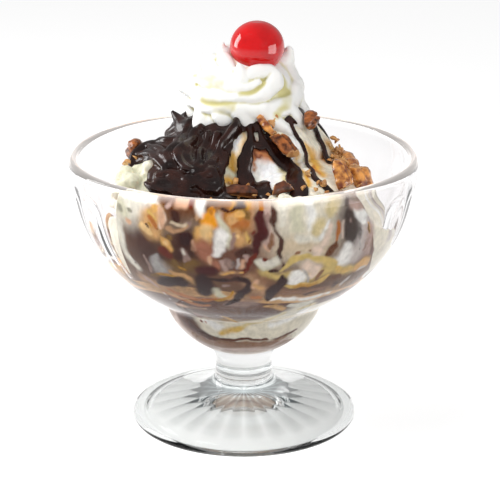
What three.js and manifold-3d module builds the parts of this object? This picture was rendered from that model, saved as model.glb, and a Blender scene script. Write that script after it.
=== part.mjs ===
// An ice cream sundae in its footed pressed-glass dish.
// Millimetres, +Z up, origin at the centre of the foot's underside. The front of the sundae faces -Y.
// From the bottom up: the glass dish, a pool of hot fudge, a band of soft vanilla ice cream,
// a fudge layer, a caramel layer, four scoops of vanilla ice cream, a blanket of hot fudge, pecans,
// whipped cream and a cherry.
import * as THREE from "three";
import { mergeVertices } from "three/addons/utils/BufferGeometryUtils.js";
import Module from "manifold-3d";

const wasm = await Module();
wasm.setup();

// ---------------------------------------------------------------- driving dimensions
const GAP = 0.3; // clearance between touching pieces
const FLUTES = 24; // flutes inside the bowl, and as many ribs under the foot
const COLUMNS = 2 * FLUTES; // one column on each ridge and one in each hollow

const DISH_HEIGHT = 97.4;
const RIM_RADIUS = 60.1;
const WALL = 2.8; // bowl wall at the rim
const BOWL_CENTRE_Z = 94; // the bowl is half an ellipsoid hanging from this level
const BOWL_DEPTH = 55.5;
const BULGE_RADIUS = 29; // the narrow cup under the bowl
const BULGE_CENTRE_Z = 51;
const BULGE_DEPTH = 26.3;
const BULGE_WALL = 3.2;
const BULGE_FLOOR = 4; // glass under the bottom of the cup
const KINK_Z = 45.4; // outside level where the cup meets the bowl
const INNER_KINK_Z = 47.1; // the same inside
const STEM_RADIUS = 10;
const STEM_TOP_Z = 24.4;
const COLLAR_RADIUS = 11.2;
const COLLAR_Z = 14;
const FOOT_RADIUS = 40;
const FOOT_EDGE = 3.4; // thickness of the foot's rim
const FOOT_HOLLOW = 6.5; // height of the hollow under the foot
const FLUTE_DEPTH = 0.9;
const FLUTE_FROM_Z = 50;
const FLUTE_TO_Z = 90;
const RIB_DEPTH = 0.7;

const CHERRY = { centre: [4.7, -4, 135.6], radius: 9.1 };

// Each scoop is an ellipsoid with a rough face: centre, half sizes, and a seed for its dents.
const SCOOPS = {
  scoop_top: { centre: [2.5, -1, 91], radii: [29.5, 28.5, 26], seed: 1 },
  scoop_left: { centre: [-16.5, -15, 79], radii: [27, 31, 26], seed: 2 },
  scoop_right: { centre: [19, -21, 73], radii: [29, 33, 27], seed: 3 },
  scoop_back: { centre: [3, 24, 74], radii: [33, 30, 27], seed: 4 },
};
// The ragged lumps that the spoon pushed up at the edge of two of them.
const LUMPS = {
  scoop_left: { centre: [-36, -15, 91], radii: [8, 10, 9.5], seed: 5 },
  scoop_right: { centre: [18, -45, 90], radii: [15, 8, 6.5], seed: 6 },
};
const DENT = 1.4; // depth of the dents in a scoop

// The fudge blanket is measured out from this point inside the heap.
const HEAP_CENTRE = [1, -2, 78];
const BLANKET_THICK = 2.2;

const TWO_PI = 2 * Math.PI;
const degrees = THREE.MathUtils.degToRad;
const clamp = THREE.MathUtils.clamp;
const smoothstep = THREE.MathUtils.smoothstep;

// ---------------------------------------------------------------- making solids
// A closed body of revolution about Z whose profile may change with the angle. profileAt(angle) lists
// [radius, height] points that start and end on the axis, the outside running upwards.
function turned(profileAt, columns = COLUMNS) {
  const rows = profileAt(0).length;
  const blank = Array.from({ length: rows }, (_, row) => new THREE.Vector2(1, row));
  const geometry = new THREE.LatheGeometry(blank, columns);
  const place = geometry.attributes.position;
  for (let column = 0; column <= columns; column++) {
    const angle = ((column % columns) * TWO_PI) / columns;
    profileAt(angle).forEach(([radius, z], row) => {
      place.setXYZ(column * rows + row, radius * Math.cos(angle), radius * Math.sin(angle), z);
    });
  }
  return geometry;
}

// A three.js geometry as a manifold-3d solid, for joining and cutting.
function solidOf(geometry) {
  const bare = geometry.clone();
  bare.deleteAttribute("normal");
  bare.deleteAttribute("uv");
  const merged = mergeVertices(bare, 1e-3);
  const made = new wasm.Manifold(
    new wasm.Mesh({
      numProp: 3,
      vertProperties: merged.attributes.position.array,
      triVerts: new Uint32Array(merged.index.array),
    }),
  );
  if (made.volume() <= 0) throw new Error("a profile runs the wrong way round");
  return made;
}

// The largest body of a solid, as a geometry: what a cut leaves besides it is crumbs.
function geometryOf(solid) {
  const bodies = solid.decompose();
  const body = bodies.reduce((best, next) => (next.volume() > best.volume() ? next : best));
  const mesh = body.simplify(GAP / 3).getMesh();
  const geometry = new THREE.BufferGeometry();
  geometry.setAttribute("position", new THREE.Float32BufferAttribute(mesh.vertProperties, 3));
  geometry.setIndex(new THREE.BufferAttribute(mesh.triVerts, 1));
  geometry.computeVertexNormals();
  return geometry;
}

// Points on an ellipse about (0, centreZ), from one angle to another in degrees.
function ellipsePoints(radius, centreZ, depth, from, to, steps) {
  return Array.from({ length: steps + 1 }, (_, i) => {
    const t = degrees(from + ((to - from) * i) / steps);
    return [radius * Math.cos(t), centreZ + depth * Math.sin(t)];
  });
}

// The angle, in degrees, at which such an ellipse reaches a level.
const levelAngle = (z, centreZ, depth) =>
  THREE.MathUtils.radToDeg(Math.asin(clamp((z - centreZ) / depth, -1, 1)));

// Soft bumps that go round the object without a seam, from -1 to 1.
const ripple = (angle, seed) =>
  0.5 * Math.sin(3 * angle + 1.7 * seed) +
  0.3 * Math.sin(5 * angle + 2.9 * seed) +
  0.2 * Math.sin(9 * angle + 4.1 * seed);

// The compass angle of a column, in degrees: 0 at the front, positive to the right.
const compass = (angle) => {
  const turn = THREE.MathUtils.radToDeg(angle) + 90;
  return turn > 180 ? turn - 360 : turn;
};

// A smooth hump of height 1 at a compass angle, of the given half width in degrees.
const hump = (at, centre, halfWidth) => Math.exp(-(((at - centre) / halfWidth) ** 2));

// ---------------------------------------------------------------- the dish
// 1 on a ridge between two flutes and 0 in a hollow.
const ridge = (angle) => 0.5 + 0.5 * Math.cos(FLUTES * angle);

// How far a flute's ridge stands in from the bowl's inner wall at a level.
const fluteRise = (z) =>
  FLUTE_DEPTH *
  smoothstep(z, FLUTE_FROM_Z - 4, FLUTE_FROM_Z + 8) *
  (1 - smoothstep(z, FLUTE_TO_Z - 6, FLUTE_TO_Z));

// The inside of bowl and cup without flutes, from the rim down to the axis, set in by `inset`.
function innerProfile(inset, bowlSteps, cupSteps) {
  const bowl = ellipsePoints(
    RIM_RADIUS - WALL - inset,
    BOWL_CENTRE_Z,
    BOWL_DEPTH - WALL - 0.5 - inset,
    0,
    levelAngle(INNER_KINK_Z, BOWL_CENTRE_Z, BOWL_DEPTH - WALL - 0.5 - inset),
    bowlSteps,
  );
  const cup = ellipsePoints(
    BULGE_RADIUS - BULGE_WALL - inset,
    BULGE_CENTRE_Z,
    BULGE_DEPTH - BULGE_FLOOR - inset,
    levelAngle(INNER_KINK_Z - 1.2, BULGE_CENTRE_Z, BULGE_DEPTH - BULGE_FLOOR - inset),
    -90,
    cupSteps,
  );
  return [...bowl, ...cup];
}

function dishProfile(angle) {
  const rib = RIB_DEPTH * ridge(angle);
  const underFoot = [
    [0, FOOT_HOLLOW],
    [8, FOOT_HOLLOW - 1.4 - rib],
    [22, 3.2 - rib],
    [33, 1.8],
    [35, 0],
    [38.4, 0],
  ];
  const footEdge = [
    [FOOT_RADIUS, 1.7],
    [39, FOOT_EDGE - 0.2],
    [37, FOOT_EDGE + 0.3],
  ];
  const footTop = [
    [28, 6],
    [18, 9.4],
    [COLLAR_RADIUS, COLLAR_Z],
  ];
  const stem = [
    [STEM_RADIUS, COLLAR_Z + 2],
    [STEM_RADIUS + 0.2, STEM_TOP_Z],
  ];
  const cup = ellipsePoints(
    BULGE_RADIUS,
    BULGE_CENTRE_Z,
    BULGE_DEPTH,
    -67,
    levelAngle(KINK_Z, BULGE_CENTRE_Z, BULGE_DEPTH),
    4,
  );
  const bowl = ellipsePoints(
    RIM_RADIUS,
    BOWL_CENTRE_Z,
    BOWL_DEPTH,
    levelAngle(KINK_Z + 0.8, BOWL_CENTRE_Z, BOWL_DEPTH),
    0,
    6,
  );
  const rim = [
    [RIM_RADIUS - 0.1, DISH_HEIGHT - 1.2],
    [RIM_RADIUS - WALL / 2, DISH_HEIGHT],
    [RIM_RADIUS - WALL + 0.1, DISH_HEIGHT - 1.2],
  ];
  return [
    ...underFoot,
    ...footEdge,
    ...footTop,
    ...stem,
    ...cup,
    ...bowl,
    ...rim,
    ...innerProfile(0, 7, 3).map(([radius, z]) => [radius - ridge(angle) * fluteRise(z), z]),
  ];
}

// The space between the flutes and straight up from it, which every filling is cut to.
const HEADROOM_Z = 160;
function bowlSpace() {
  const inset = GAP + FLUTE_DEPTH;
  const mouth = [
    [RIM_RADIUS - WALL - inset, HEADROOM_Z],
    [0, HEADROOM_Z],
  ];
  return solidOf(turned(() => [...innerProfile(inset, 5, 3).reverse(), ...mouth], FLUTES));
}

// ---------------------------------------------------------------- the layers in the cup
// The level of each surface between two layers at the wall; it flattens out towards the axis.
const LEVELS = {
  poolTop: { centre: 34.2, wall: (at) => 34.6 + 8 * hump(at, -92, 34) + 1.6 * hump(at, 75, 40) },
  creamTop: { centre: 50, wall: (at) => 48.6 + 8 * hump(at, 60, 42) },
  fudgeTop: { centre: 58, wall: (at) => 58.5 + 3.4 * hump(at, -15, 34) + 3 * hump(at, 62, 26) },
  caramelTop: { centre: 60.4, wall: (at) => 61.2 + 3.6 * hump(at, -15, 38) + 4 * hump(at, 62, 30) },
};
const LEVEL_RINGS = [60, 32];

// The points of one surface along a column, from the wall to the axis.
function surfacePoints({ centre, wall }, angle, raise = 0) {
  const atWall = wall(compass(angle)) + 0.9 * ripple(angle, centre);
  const rings = LEVEL_RINGS.map((radius) => {
    const share = (radius / 60) ** 1.4;
    return [radius, centre + (atWall - centre) * share + raise];
  });
  return [...rings, [0, centre + raise]];
}

// Everything between two surfaces, or from the bottom of the dish up to one.
function between(lower, upper, raise = GAP) {
  return solidOf(
    turned((angle) => {
      const floor = lower
        ? surfacePoints(lower, angle, raise).reverse()
        : [[0, 20], ...LEVEL_RINGS.slice().reverse().map((radius) => [radius, 20])];
      return [...floor, ...surfacePoints(upper, angle, lower ? 0 : raise)];
    }, FLUTES),
  );
}

// ---------------------------------------------------------------- scoops
// Shallow dents over a sphere, from 0 to 1, worked out from the direction alone.
function dents(x, y, z, seed) {
  const a = Math.sin(4.3 * x + 3.1 * y + 1.9 * seed);
  const b = Math.sin(5.7 * y - 4.4 * z + 2.7 * seed);
  const c = Math.sin(6.1 * z + 3.7 * x + 3.3 * seed);
  return 0.5 + (a + b + c) / 6;
}

function scoopBall({ centre, radii, seed }, grow, columns) {
  const ball = new THREE.SphereGeometry(1, columns, Math.round(0.65 * columns));
  const place = ball.attributes.position;
  const point = new THREE.Vector3();
  for (let i = 0; i < place.count; i++) {
    point.fromBufferAttribute(place, i);
    const dent = DENT * dents(point.x, point.y, point.z, seed);
    const reach = radii.map((radius) => radius + grow - dent);
    place.setXYZ(i, ...["x", "y", "z"].map((axis, k) => centre[k] + point[axis] * reach[k]));
  }
  return solidOf(ball);
}

function scoopSolid(name, grow = 0) {
  const ball = scoopBall(SCOOPS[name], grow, 16);
  return LUMPS[name] ? ball.add(scoopBall(LUMPS[name], grow, 10)) : ball;
}

// ---------------------------------------------------------------- the fudge blanket
// How far it is from the heap's centre to the outside of the scoops in a direction.
function heapReach(direction) {
  const reaches = Object.values(SCOOPS).map(({ centre, radii }) => {
    const d = direction.map((value, k) => value / radii[k]);
    const o = HEAP_CENTRE.map((value, k) => (value - centre[k]) / radii[k]);
    const dd = d[0] ** 2 + d[1] ** 2 + d[2] ** 2;
    const od = o[0] * d[0] + o[1] * d[1] + o[2] * d[2];
    const oo = o[0] ** 2 + o[1] ** 2 + o[2] ** 2 - 1;
    const root = od * od - dd * oo;
    return root > 0 ? (-od + Math.sqrt(root)) / dd : 0;
  });
  return Math.max(...reaches);
}

// A direction from that centre: its compass angle and how far down from straight up, in degrees.
function directionTo(at, down) {
  const away = new THREE.Vector3(0, 0, 1);
  away.applyAxisAngle(new THREE.Vector3(1, 0, 0), degrees(down));
  return away.applyAxisAngle(new THREE.Vector3(0, 0, 1), degrees(at)).toArray();
}

// Lays a piece that was modelled flat on the heap, its own +Z outwards and its own -Y downhill.
function laidOnHeap(geometry, at, down, off) {
  const direction = directionTo(at, down);
  const reach = heapReach(direction) + off;
  geometry.rotateX(degrees(down)).rotateZ(degrees(at));
  return geometry.translate(...direction.map((value, k) => HEAP_CENTRE[k] + value * reach));
}

// Where the ice cream shows between the runs of fudge: the middle of each bare window, and its width
// and length in millimetres.
const WINDOWS = [
  { at: -9, down: 54, width: 7, length: 25 },
  { at: 13, down: 62, width: 13, length: 24 },
  { at: 40, down: 56, width: 6.5, length: 27 },
  { at: 55, down: 52, width: 6, length: 24 },
  { at: 126, down: 62, width: 12, length: 22 },
  { at: 168, down: 62, width: 10, length: 22 },
  { at: -144, down: 64, width: 10, length: 22 },
];
const WINDOW_DEPTH = 8;

function windowSolid({ at, down, width, length }, grow) {
  const cutter = new THREE.SphereGeometry(1, 8, 5).scale(
    width / 2 - grow,
    length / 2 - grow,
    WINDOW_DEPTH,
  );
  return solidOf(laidOnHeap(cutter, at, down, 0));
}

// How far down the fudge runs at a compass angle, in degrees.
const BLANKET_REACH = 77; // on average
const LEFT_SHORTER = 14; // the left side ends this much higher, where the ragged lump stands
const edgeDown = (angle) =>
  BLANKET_REACH - LEFT_SHORTER * hump(compass(angle), -84, 18) + 6 * ripple(angle, 3);

// How much thicker the blanket's folds make it at a compass angle: most on the left.
const foldRise = (angle) => (2 + 1.2 * Math.sin(9 * angle)) * hump(compass(angle), -68, 52);

const BLANKET_STEPS = 7;
const BLANKET_COLUMNS = 32;
const LIP = 0.55; // the share of its thickness that the blanket loses at its edge
function blanketSolid(grow = 0) {
  const cap = turned((angle) => {
    const end = degrees(edgeDown(angle));
    const pointAt = (step, outer) => {
      const down = (end * step) / BLANKET_STEPS;
      const level = Math.sin(down);
      const direction = [Math.cos(angle) * level, Math.sin(angle) * level, Math.cos(down)];
      const edge = 1 - LIP * (step / BLANKET_STEPS) ** 6;
      const thick = (BLANKET_THICK + foldRise(angle) * level) * edge;
      const reach = heapReach(direction) + (outer ? GAP + thick + grow : GAP - grow);
      return [reach * level, reach * Math.cos(down)];
    };
    const steps = Array.from({ length: BLANKET_STEPS + 1 }, (_, i) => i);
    const inside = steps.map((step) => pointAt(step, false));
    const outside = steps.reverse().map((step) => pointAt(step, true));
    return [...inside, ...outside];
  }, BLANKET_COLUMNS).translate(...HEAP_CENTRE);
  return WINDOWS.reduce((rest, window) => rest.subtract(windowSolid(window, grow)), solidOf(cap));
}

// ---------------------------------------------------------------- whipped cream
// The rosette's outline, as [height, radius], before it is ridged by the piping nozzle.
const ROSETTE_FLOOR = 104;
const ROSETTE_TOP = 136.4;
const ROSETTE = new THREE.SplineCurve(
  [
    [ROSETTE_FLOOR, 13],
    [107.5, 19],
    [112, 21.8],
    [117.5, 22],
    [122.5, 20.3],
    [127, 18],
    [131, 15],
    [134, 11],
    [135.8, 6],
  ].map(([z, r]) => new THREE.Vector2(z, r)),
);
const ROSETTE_ROWS = 11;
const NOZZLE_POINTS = 8;
const RIDGE_TWIST = 0.36; // how far the ridges turn for each millimetre of height, in radians
const RIDGE_SHARE = 0.07; // how far a ridge stands out, as a share of the radius
const RIDGE_LIFT = 0.8; // and how far it is pulled up
const TURN_HEIGHT = 10.5; // height of one turn of the piped rope
const TURN_SHARE = 0.1; // how far a turn bulges out, as a share of the radius
const ROSETTE_LEAN = 0.2; // the top sits this far to the right for each millimetre of height
const LEAN_FROM_Z = 112;

function rosetteSolid() {
  const outline = ROSETTE.getPoints(ROSETTE_ROWS);
  return solidOf(
    turned((angle) => {
      const rope = outline.map(({ x: z, y: radius }) => {
        const risen = z - ROSETTE_FLOOR;
        const turn = Math.cos((TWO_PI * risen) / TURN_HEIGHT - angle);
        const star = Math.cos(NOZZLE_POINTS * angle + RIDGE_TWIST * risen);
        return [radius * (0.97 + TURN_SHARE * turn + RIDGE_SHARE * star), z + RIDGE_LIFT * star];
      });
      return [[0, ROSETTE_FLOOR - 1], ...rope, [0, ROSETTE_TOP]];
    }, NOZZLE_POINTS * 5),
  );
}

function leaned(geometry) {
  const place = geometry.attributes.position;
  for (let i = 0; i < place.count; i++) {
    const lean = ROSETTE_LEAN * Math.max(0, place.getZ(i) - LEAN_FROM_Z);
    place.setX(i, place.getX(i) + lean);
  }
  return geometry;
}

// ---------------------------------------------------------------- cherry and pecans
function cherrySolid(grow = 0) {
  const ball = new THREE.SphereGeometry(1, 16, 10).rotateX(Math.PI / 2);
  const place = ball.attributes.position;
  const point = new THREE.Vector3();
  for (let i = 0; i < place.count; i++) {
    point.fromBufferAttribute(place, i);
    const dimple = 1 - 0.1 * smoothstep(point.z, 0.86, 1);
    const shoulder = 1 - 0.035 * point.z * point.z;
    point.multiplyScalar((CHERRY.radius + grow) * dimple * shoulder);
    place.setXYZ(i, ...point.toArray().map((value, k) => value + CHERRY.centre[k]));
  }
  return solidOf(ball);
}

// Where each pecan lies on the heap: its compass angle and how far down from the top, in degrees, how far
// its middle stands off the scoops, its length and width, how far it is turned on the slope, where 0 lies
// level and 90 points uphill, and how far it is rolled over and tipped up, all in degrees.
const PECANS = [
  { at: 17, down: 31, off: 3.8, length: 12, width: 5, turned: 108, tipped: 0, rolled: 0 },
  { at: 28, down: 43, off: 4, length: 14, width: 6, turned: 112, tipped: 0, rolled: 20 },
  { at: 62, down: 36, off: 4, length: 8, width: 6, turned: 20, tipped: 0, rolled: 50 },
  { at: 46, down: 65, off: 4.2, length: 11, width: 7, turned: 80, tipped: 0, rolled: 20 },
  { at: 57, down: 69, off: 4.2, length: 10, width: 6.5, turned: 95, tipped: 0, rolled: -20 },
  { at: 76, down: 63, off: 4, length: 11, width: 7, turned: 40, tipped: 0, rolled: 20 },
  { at: 96, down: 70, off: 4.2, length: 11, width: 7, turned: 50, tipped: 0, rolled: 40 },
  { at: -82, down: 60, off: 5, length: 11, width: 7, turned: 20, tipped: 20, rolled: 0 },
  { at: -3, down: 66, off: 3.8, length: 13, width: 6, turned: 4, tipped: 0, rolled: 20 },
  { at: 16, down: 66, off: 3.6, length: 7.5, width: 6, turned: 10, tipped: 0, rolled: 0 },
  { at: 155, down: 60, off: 4.5, length: 13, width: 8, turned: 40, tipped: 0, rolled: 20 },
  { at: -128, down: 64, off: 5, length: 13, width: 8, turned: -30, tipped: 0, rolled: -20 },
];
const PECAN_FLATNESS = 0.8; // thickness as a share of the width

// A pecan half: a long lobed body with a groove down its back.
function pecanSolid({ at, down, off, length, width, turned: heading, tipped, rolled }, grow = 0) {
  const body = new THREE.SphereGeometry(1, 8, 6).rotateZ(Math.PI / 2);
  const place = body.attributes.position;
  const point = new THREE.Vector3();
  for (let i = 0; i < place.count; i++) {
    point.fromBufferAttribute(place, i);
    const groove = 1 - 0.3 * hump(point.y, 0, 0.24) * smoothstep(point.z, 0, 0.8);
    const lobes = 1 + 0.07 * Math.cos(9 * point.x);
    const across = (width / 2) * lobes + grow;
    place.setXYZ(
      i,
      point.x * (length / 2 + grow),
      point.y * across,
      point.z * across * PECAN_FLATNESS * groove,
    );
  }
  body.rotateX(degrees(rolled)).rotateY(degrees(-tipped)).rotateZ(degrees(heading));
  return solidOf(laidOnHeap(body, at, down, off));
}

// ---------------------------------------------------------------- materials
const glass = new THREE.MeshStandardMaterial({
  color: 0xf4f6f6,
  roughness: 0.03,
  metalness: 0,
  transparent: true,
  opacity: 0.35,
});
const look = (color, roughness) =>
  new THREE.MeshStandardMaterial({ color, roughness, metalness: 0 });
const iceCream = look(0xf1e9d0, 0.6);
const fudge = look(0x2c1712, 0.2);
const caramel = look(0xb9782a, 0.15);
const cream = look(0xfbf9f2, 0.5);
const cherryRed = look(0xb31217, 0.12);
const pecanBrown = look(0x8a4a22, 0.35);

// ---------------------------------------------------------------- putting it together
const sundae = new THREE.Group();

function add(name, geometry, material) {
  const mesh = new THREE.Mesh(geometry, material);
  mesh.name = name;
  sundae.add(mesh);
}

add("glass_dish", turned(dishProfile), glass);

const space = bowlSpace();
const inDish = (solid) => solid.intersect(space);

add("fudge_pool", geometryOf(inDish(between(null, LEVELS.poolTop, 0))), fudge);
add("ice_cream_band", geometryOf(inDish(between(LEVELS.poolTop, LEVELS.creamTop))), iceCream);
add("fudge_layer", geometryOf(inDish(between(LEVELS.creamTop, LEVELS.fudgeTop))), fudge);
add("caramel_layer", geometryOf(inDish(between(LEVELS.fudgeTop, LEVELS.caramelTop))), caramel);

// Each scoop gives way to the ones set down before it.
const sauces = between(null, LEVELS.caramelTop);
let taken = sauces;
for (const name of Object.keys(SCOOPS)) {
  add(name, geometryOf(inDish(scoopSolid(name)).subtract(taken)), iceCream);
  taken = taken.add(scoopSolid(name, GAP));
}

add("fudge_blanket", geometryOf(blanketSolid().subtract(taken)), fudge);
taken = taken.add(blanketSolid(GAP));

PECANS.forEach((pecan, i) => {
  add(`pecan_${i + 1}`, geometryOf(inDish(pecanSolid(pecan)).subtract(taken)), pecanBrown);
  taken = taken.add(pecanSolid(pecan, GAP));
});

const rosette = solidOf(leaned(geometryOf(rosetteSolid())));
add("whipped_cream", geometryOf(rosette.subtract(taken).subtract(cherrySolid(GAP))), cream);
add("cherry", geometryOf(cherrySolid()), cherryRed);

export default sundae;
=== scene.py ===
# %% [markdown]
# # An ice cream sundae in a footed glass dish
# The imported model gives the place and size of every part. Here each part gets its real shape and finish:
# pressed glass, melting ice cream, hot fudge, caramel, pecans, whipped cream and a cherry.
# Lengths in this lesson are millimetres, and one helper turns them into Blender's metres.

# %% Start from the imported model
import math
import random

import bpy
import numpy as np
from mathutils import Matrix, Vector
from mathutils.bvhtree import BVHTree


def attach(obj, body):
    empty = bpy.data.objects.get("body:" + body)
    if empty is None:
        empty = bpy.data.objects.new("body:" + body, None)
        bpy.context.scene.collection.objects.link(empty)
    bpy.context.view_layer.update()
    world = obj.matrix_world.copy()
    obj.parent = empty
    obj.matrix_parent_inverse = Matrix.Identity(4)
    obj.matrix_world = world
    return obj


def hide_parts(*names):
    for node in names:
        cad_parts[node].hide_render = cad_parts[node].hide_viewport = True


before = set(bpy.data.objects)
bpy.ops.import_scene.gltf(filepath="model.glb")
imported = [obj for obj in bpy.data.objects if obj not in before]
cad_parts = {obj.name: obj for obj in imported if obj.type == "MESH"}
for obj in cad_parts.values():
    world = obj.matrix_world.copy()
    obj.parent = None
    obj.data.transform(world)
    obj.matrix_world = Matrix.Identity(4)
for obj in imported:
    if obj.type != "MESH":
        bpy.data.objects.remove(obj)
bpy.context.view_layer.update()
MM = 0.001
TURN = 2 * math.pi
print("nodes:", len(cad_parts))

# %% [markdown]
# ## The bench tools
# Modelling by hand means a few moves over and over: pick one object, add a primitive, apply a modifier.
# Each of them gets a short name, and everything else is deselected first, because an operator
# works on all that is selected.

# %% Helpers for picking, adding and finishing
def pick(*pieces):
    """Selects these pieces alone; the last one is active."""
    bpy.ops.object.select_all(action="DESELECT")
    for piece in pieces:
        piece.select_set(True)
    if pieces:
        bpy.context.view_layer.objects.active = pieces[-1]


def added(name, operator, **settings):
    """Adds a primitive with one operator, its size in millimetres, and names it."""
    pick()
    for key in ("radius", "size"):
        if key in settings:
            settings[key] *= MM
    operator(**settings)
    piece = bpy.context.object
    piece.name = name
    piece.data.name = name
    return piece


def placed(piece):
    """Moves the object's place, turn and scale into its mesh."""
    pick(piece)
    bpy.ops.object.transform_apply(location=True, rotation=True, scale=True)
    return piece


def modified(piece, kind, **settings):
    """Adds a modifier, sets it up and applies it."""
    pick(piece)
    modifier = piece.modifiers.new(kind.title(), kind)
    for name, value in settings.items():
        setattr(modifier, name, value)
    bpy.ops.object.modifier_apply(modifier=modifier.name)
    return piece


def joined(name, pieces):
    """Joins several pieces into one mesh."""
    pick(*pieces)
    bpy.ops.object.join()
    piece = bpy.context.object
    piece.name = name
    return piece


def points_of(piece):
    """All the points of a mesh, in millimetres, one row each."""
    flat = np.empty(len(piece.data.vertices) * 3)
    piece.data.vertices.foreach_get("co", flat)
    return flat.reshape(-1, 3) / MM


def put_points(piece, points):
    """Moves all the points of a mesh to these places, in millimetres."""
    piece.data.vertices.foreach_set("co", (np.asarray(points) * MM).ravel())
    piece.data.update()
    return piece


def smooth(piece):
    """Shades all faces smooth."""
    pick(piece)
    bpy.ops.object.shade_smooth()
    return piece


def melted(piece, voxel, rounds=2):
    """Melts overlapping shapes into one skin, and lets it settle."""
    modified(piece, "REMESH", mode="VOXEL", voxel_size=voxel * MM)
    if rounds:
        modified(piece, "SMOOTH", factor=0.5, iterations=rounds)
    return smooth(piece)


def roughened(piece, size, depth, seed, **settings):
    """Pushes the skin in and out by a cloudy pattern with features of this size."""
    texture = bpy.data.textures.new(piece.name, "CLOUDS")
    texture.noise_scale = size * MM
    for name, value in settings.items():
        setattr(texture, name, value)
    holder = bpy.data.objects.new("pattern place", None)
    bpy.context.scene.collection.objects.link(holder)
    holder.location = (seed, 2 * seed, 3 * seed)
    bpy.context.view_layer.update()
    modified(piece, "DISPLACE", texture=texture, strength=depth * MM, mid_level=0.5,
             texture_coords="OBJECT", texture_coords_object=holder)
    bpy.data.objects.remove(holder)
    bpy.data.textures.remove(texture)
    return piece


def finished(piece, slot, finish, *nodes):
    """Gives a piece its finish, attaches it to the root, and hides the nodes that it stands for."""
    placed(piece)
    piece.data.materials.clear()
    piece.data.materials.append(finish)
    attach(piece, "root")
    if nodes:
        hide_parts(*nodes)
    print(f"{piece.name}: {len(piece.data.polygons)} faces")
    return piece


# %% [markdown]
# ## Writing materials as sums
# A material is a network of nodes. Writing `0.2 + 0.5 * noise` is easier to read than wiring Math nodes,
# so a small class wraps a socket and turns each operator into a node.

# %% A socket that does sums
class Wire:
    """One output of a node, with the operators that shaders need."""

    def __init__(self, material, socket):
        self.material = material
        self.socket = socket

    def math(self, operation, *others):
        return self.material.node("ShaderNodeMath", {"operation": operation}, *others)

    def __add__(self, other):
        return self.math("ADD", self, other)

    def __sub__(self, other):
        return self.math("SUBTRACT", self, other)

    def __rsub__(self, other):
        return self.math("SUBTRACT", other, self)

    def __mul__(self, other):
        return self.math("MULTIPLY", self, other)

    def __truediv__(self, other):
        return self.math("DIVIDE", self, other)

    def __pow__(self, other):
        return self.math("POWER", self, other)

    def scaled(self, share):
        """A colour made lighter or darker."""
        return self.material.node("ShaderNodeVectorMath", {"operation": "SCALE"}, self, Scale=share)

    def clear_of(self, low, high):
        """0 below low, 1 above high, and a soft step between."""
        settings = {"interpolation_type": "SMOOTHSTEP"}
        return self.material.node("ShaderNodeMapRange", settings, self, low, high)

    __radd__ = __add__
    __rmul__ = __mul__


MIX_INPUTS = (0, 6, 7)  # a Mix node's factor and its two colours, among all its inputs
MIX_RESULT = 2


class Finish:
    """A material whose Principled shader is set up by name."""

    def __init__(self, name, **constants):
        self.data = bpy.data.materials.new(name)
        self.data.use_nodes = True
        self.tree = self.data.node_tree
        self.shader = self.tree.nodes["Principled BSDF"]
        self.set(**constants)

    def fill(self, socket, value):
        """Links a wire to a socket, or sets the socket to a number or a colour."""
        if isinstance(value, Wire):
            self.tree.links.new(value.socket, socket)
        elif socket.type == "RGBA":
            socket.default_value = (*value, 1.0)
        else:
            socket.default_value = value

    def set(self, **values):
        """Sets sockets of the shader: base_color sets Base Color, and so on."""
        for key, value in values.items():
            title = " ".join(word if word == "IOR" else word.title() for word in key.split("_"))
            self.fill(self.shader.inputs[title], value)

    def node(self, kind, settings, *values, output=0, **named):
        """Adds a node: its settings first, then its inputs in order or by name."""
        node = self.tree.nodes.new(kind)
        for key, value in settings.items():
            setattr(node, key, value)
        for socket, value in zip(node.inputs, values):
            self.fill(socket, value)
        for key, value in named.items():
            self.fill(node.inputs[key], value)
        return Wire(self, node.outputs[output])

    def place(self):
        """The point of the object that is being shaded."""
        return self.node("ShaderNodeTexCoord", {}, output="Object")

    def value_of(self, name):
        """A number that the mesh carries at each of its points."""
        return self.node("ShaderNodeAttribute", {"attribute_name": name}, output="Fac")

    def noise(self, size, detail=3.0, stretch=(1, 1, 1)):
        """Soft noise with features of this many millimetres, from about 0.2 to 0.8."""
        spot = self.place()
        if stretch != (1, 1, 1):
            spot = self.node("ShaderNodeMapping", {}, spot, Scale=stretch)
        return self.node("ShaderNodeTexNoise", {}, Vector=spot, Scale=1 / (size * MM), Detail=detail,
                         output="Fac")

    def blend(self, share, first, second):
        """A colour between two colours."""
        node = self.tree.nodes.new("ShaderNodeMix")
        node.data_type = "RGBA"
        for number, value in zip(MIX_INPUTS, (share, first, second)):
            self.fill(node.inputs[number], value)
        return Wire(self, node.outputs[MIX_RESULT])

    def bump(self, height, depth, strength):
        """Dents of this many millimetres."""
        dents = self.node("ShaderNodeBump", {}, Strength=strength, Distance=depth * MM, Height=height)
        self.set(normal=dents)


def tint(red, green, blue):
    """A colour as a screen shows it, 0 to 255, as the linear values that shaders take."""
    def linear(value):
        share = value / 255
        return share / 12.92 if share <= 0.04045 else ((share + 0.055) / 1.055) ** 2.4
    return tuple(linear(value) for value in (red, green, blue))


# %% [markdown]
# ## Camera, floor and light
# The camera looks down a little, from two thirds of a metre away. A white floor that glows a little runs on
# past the picture's edge, and the world lights it softly, so that the glass has something pale to show. One
# soft box stands at the left, one hangs overhead and one fills in from the front. A white card at the right
# lights nothing: it shows only as a reflection.

# %% The camera
CAMERA_DISTANCE = 603.99
CAMERA_HEIGHT = 259.38
CAMERA_PITCH = math.radians(18.117)
FRAME_PIXELS = 500
FOCAL_PIXELS = 1813.3
CAMERA_SIDE = 2.2
SENSOR_WIDTH = 36

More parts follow.
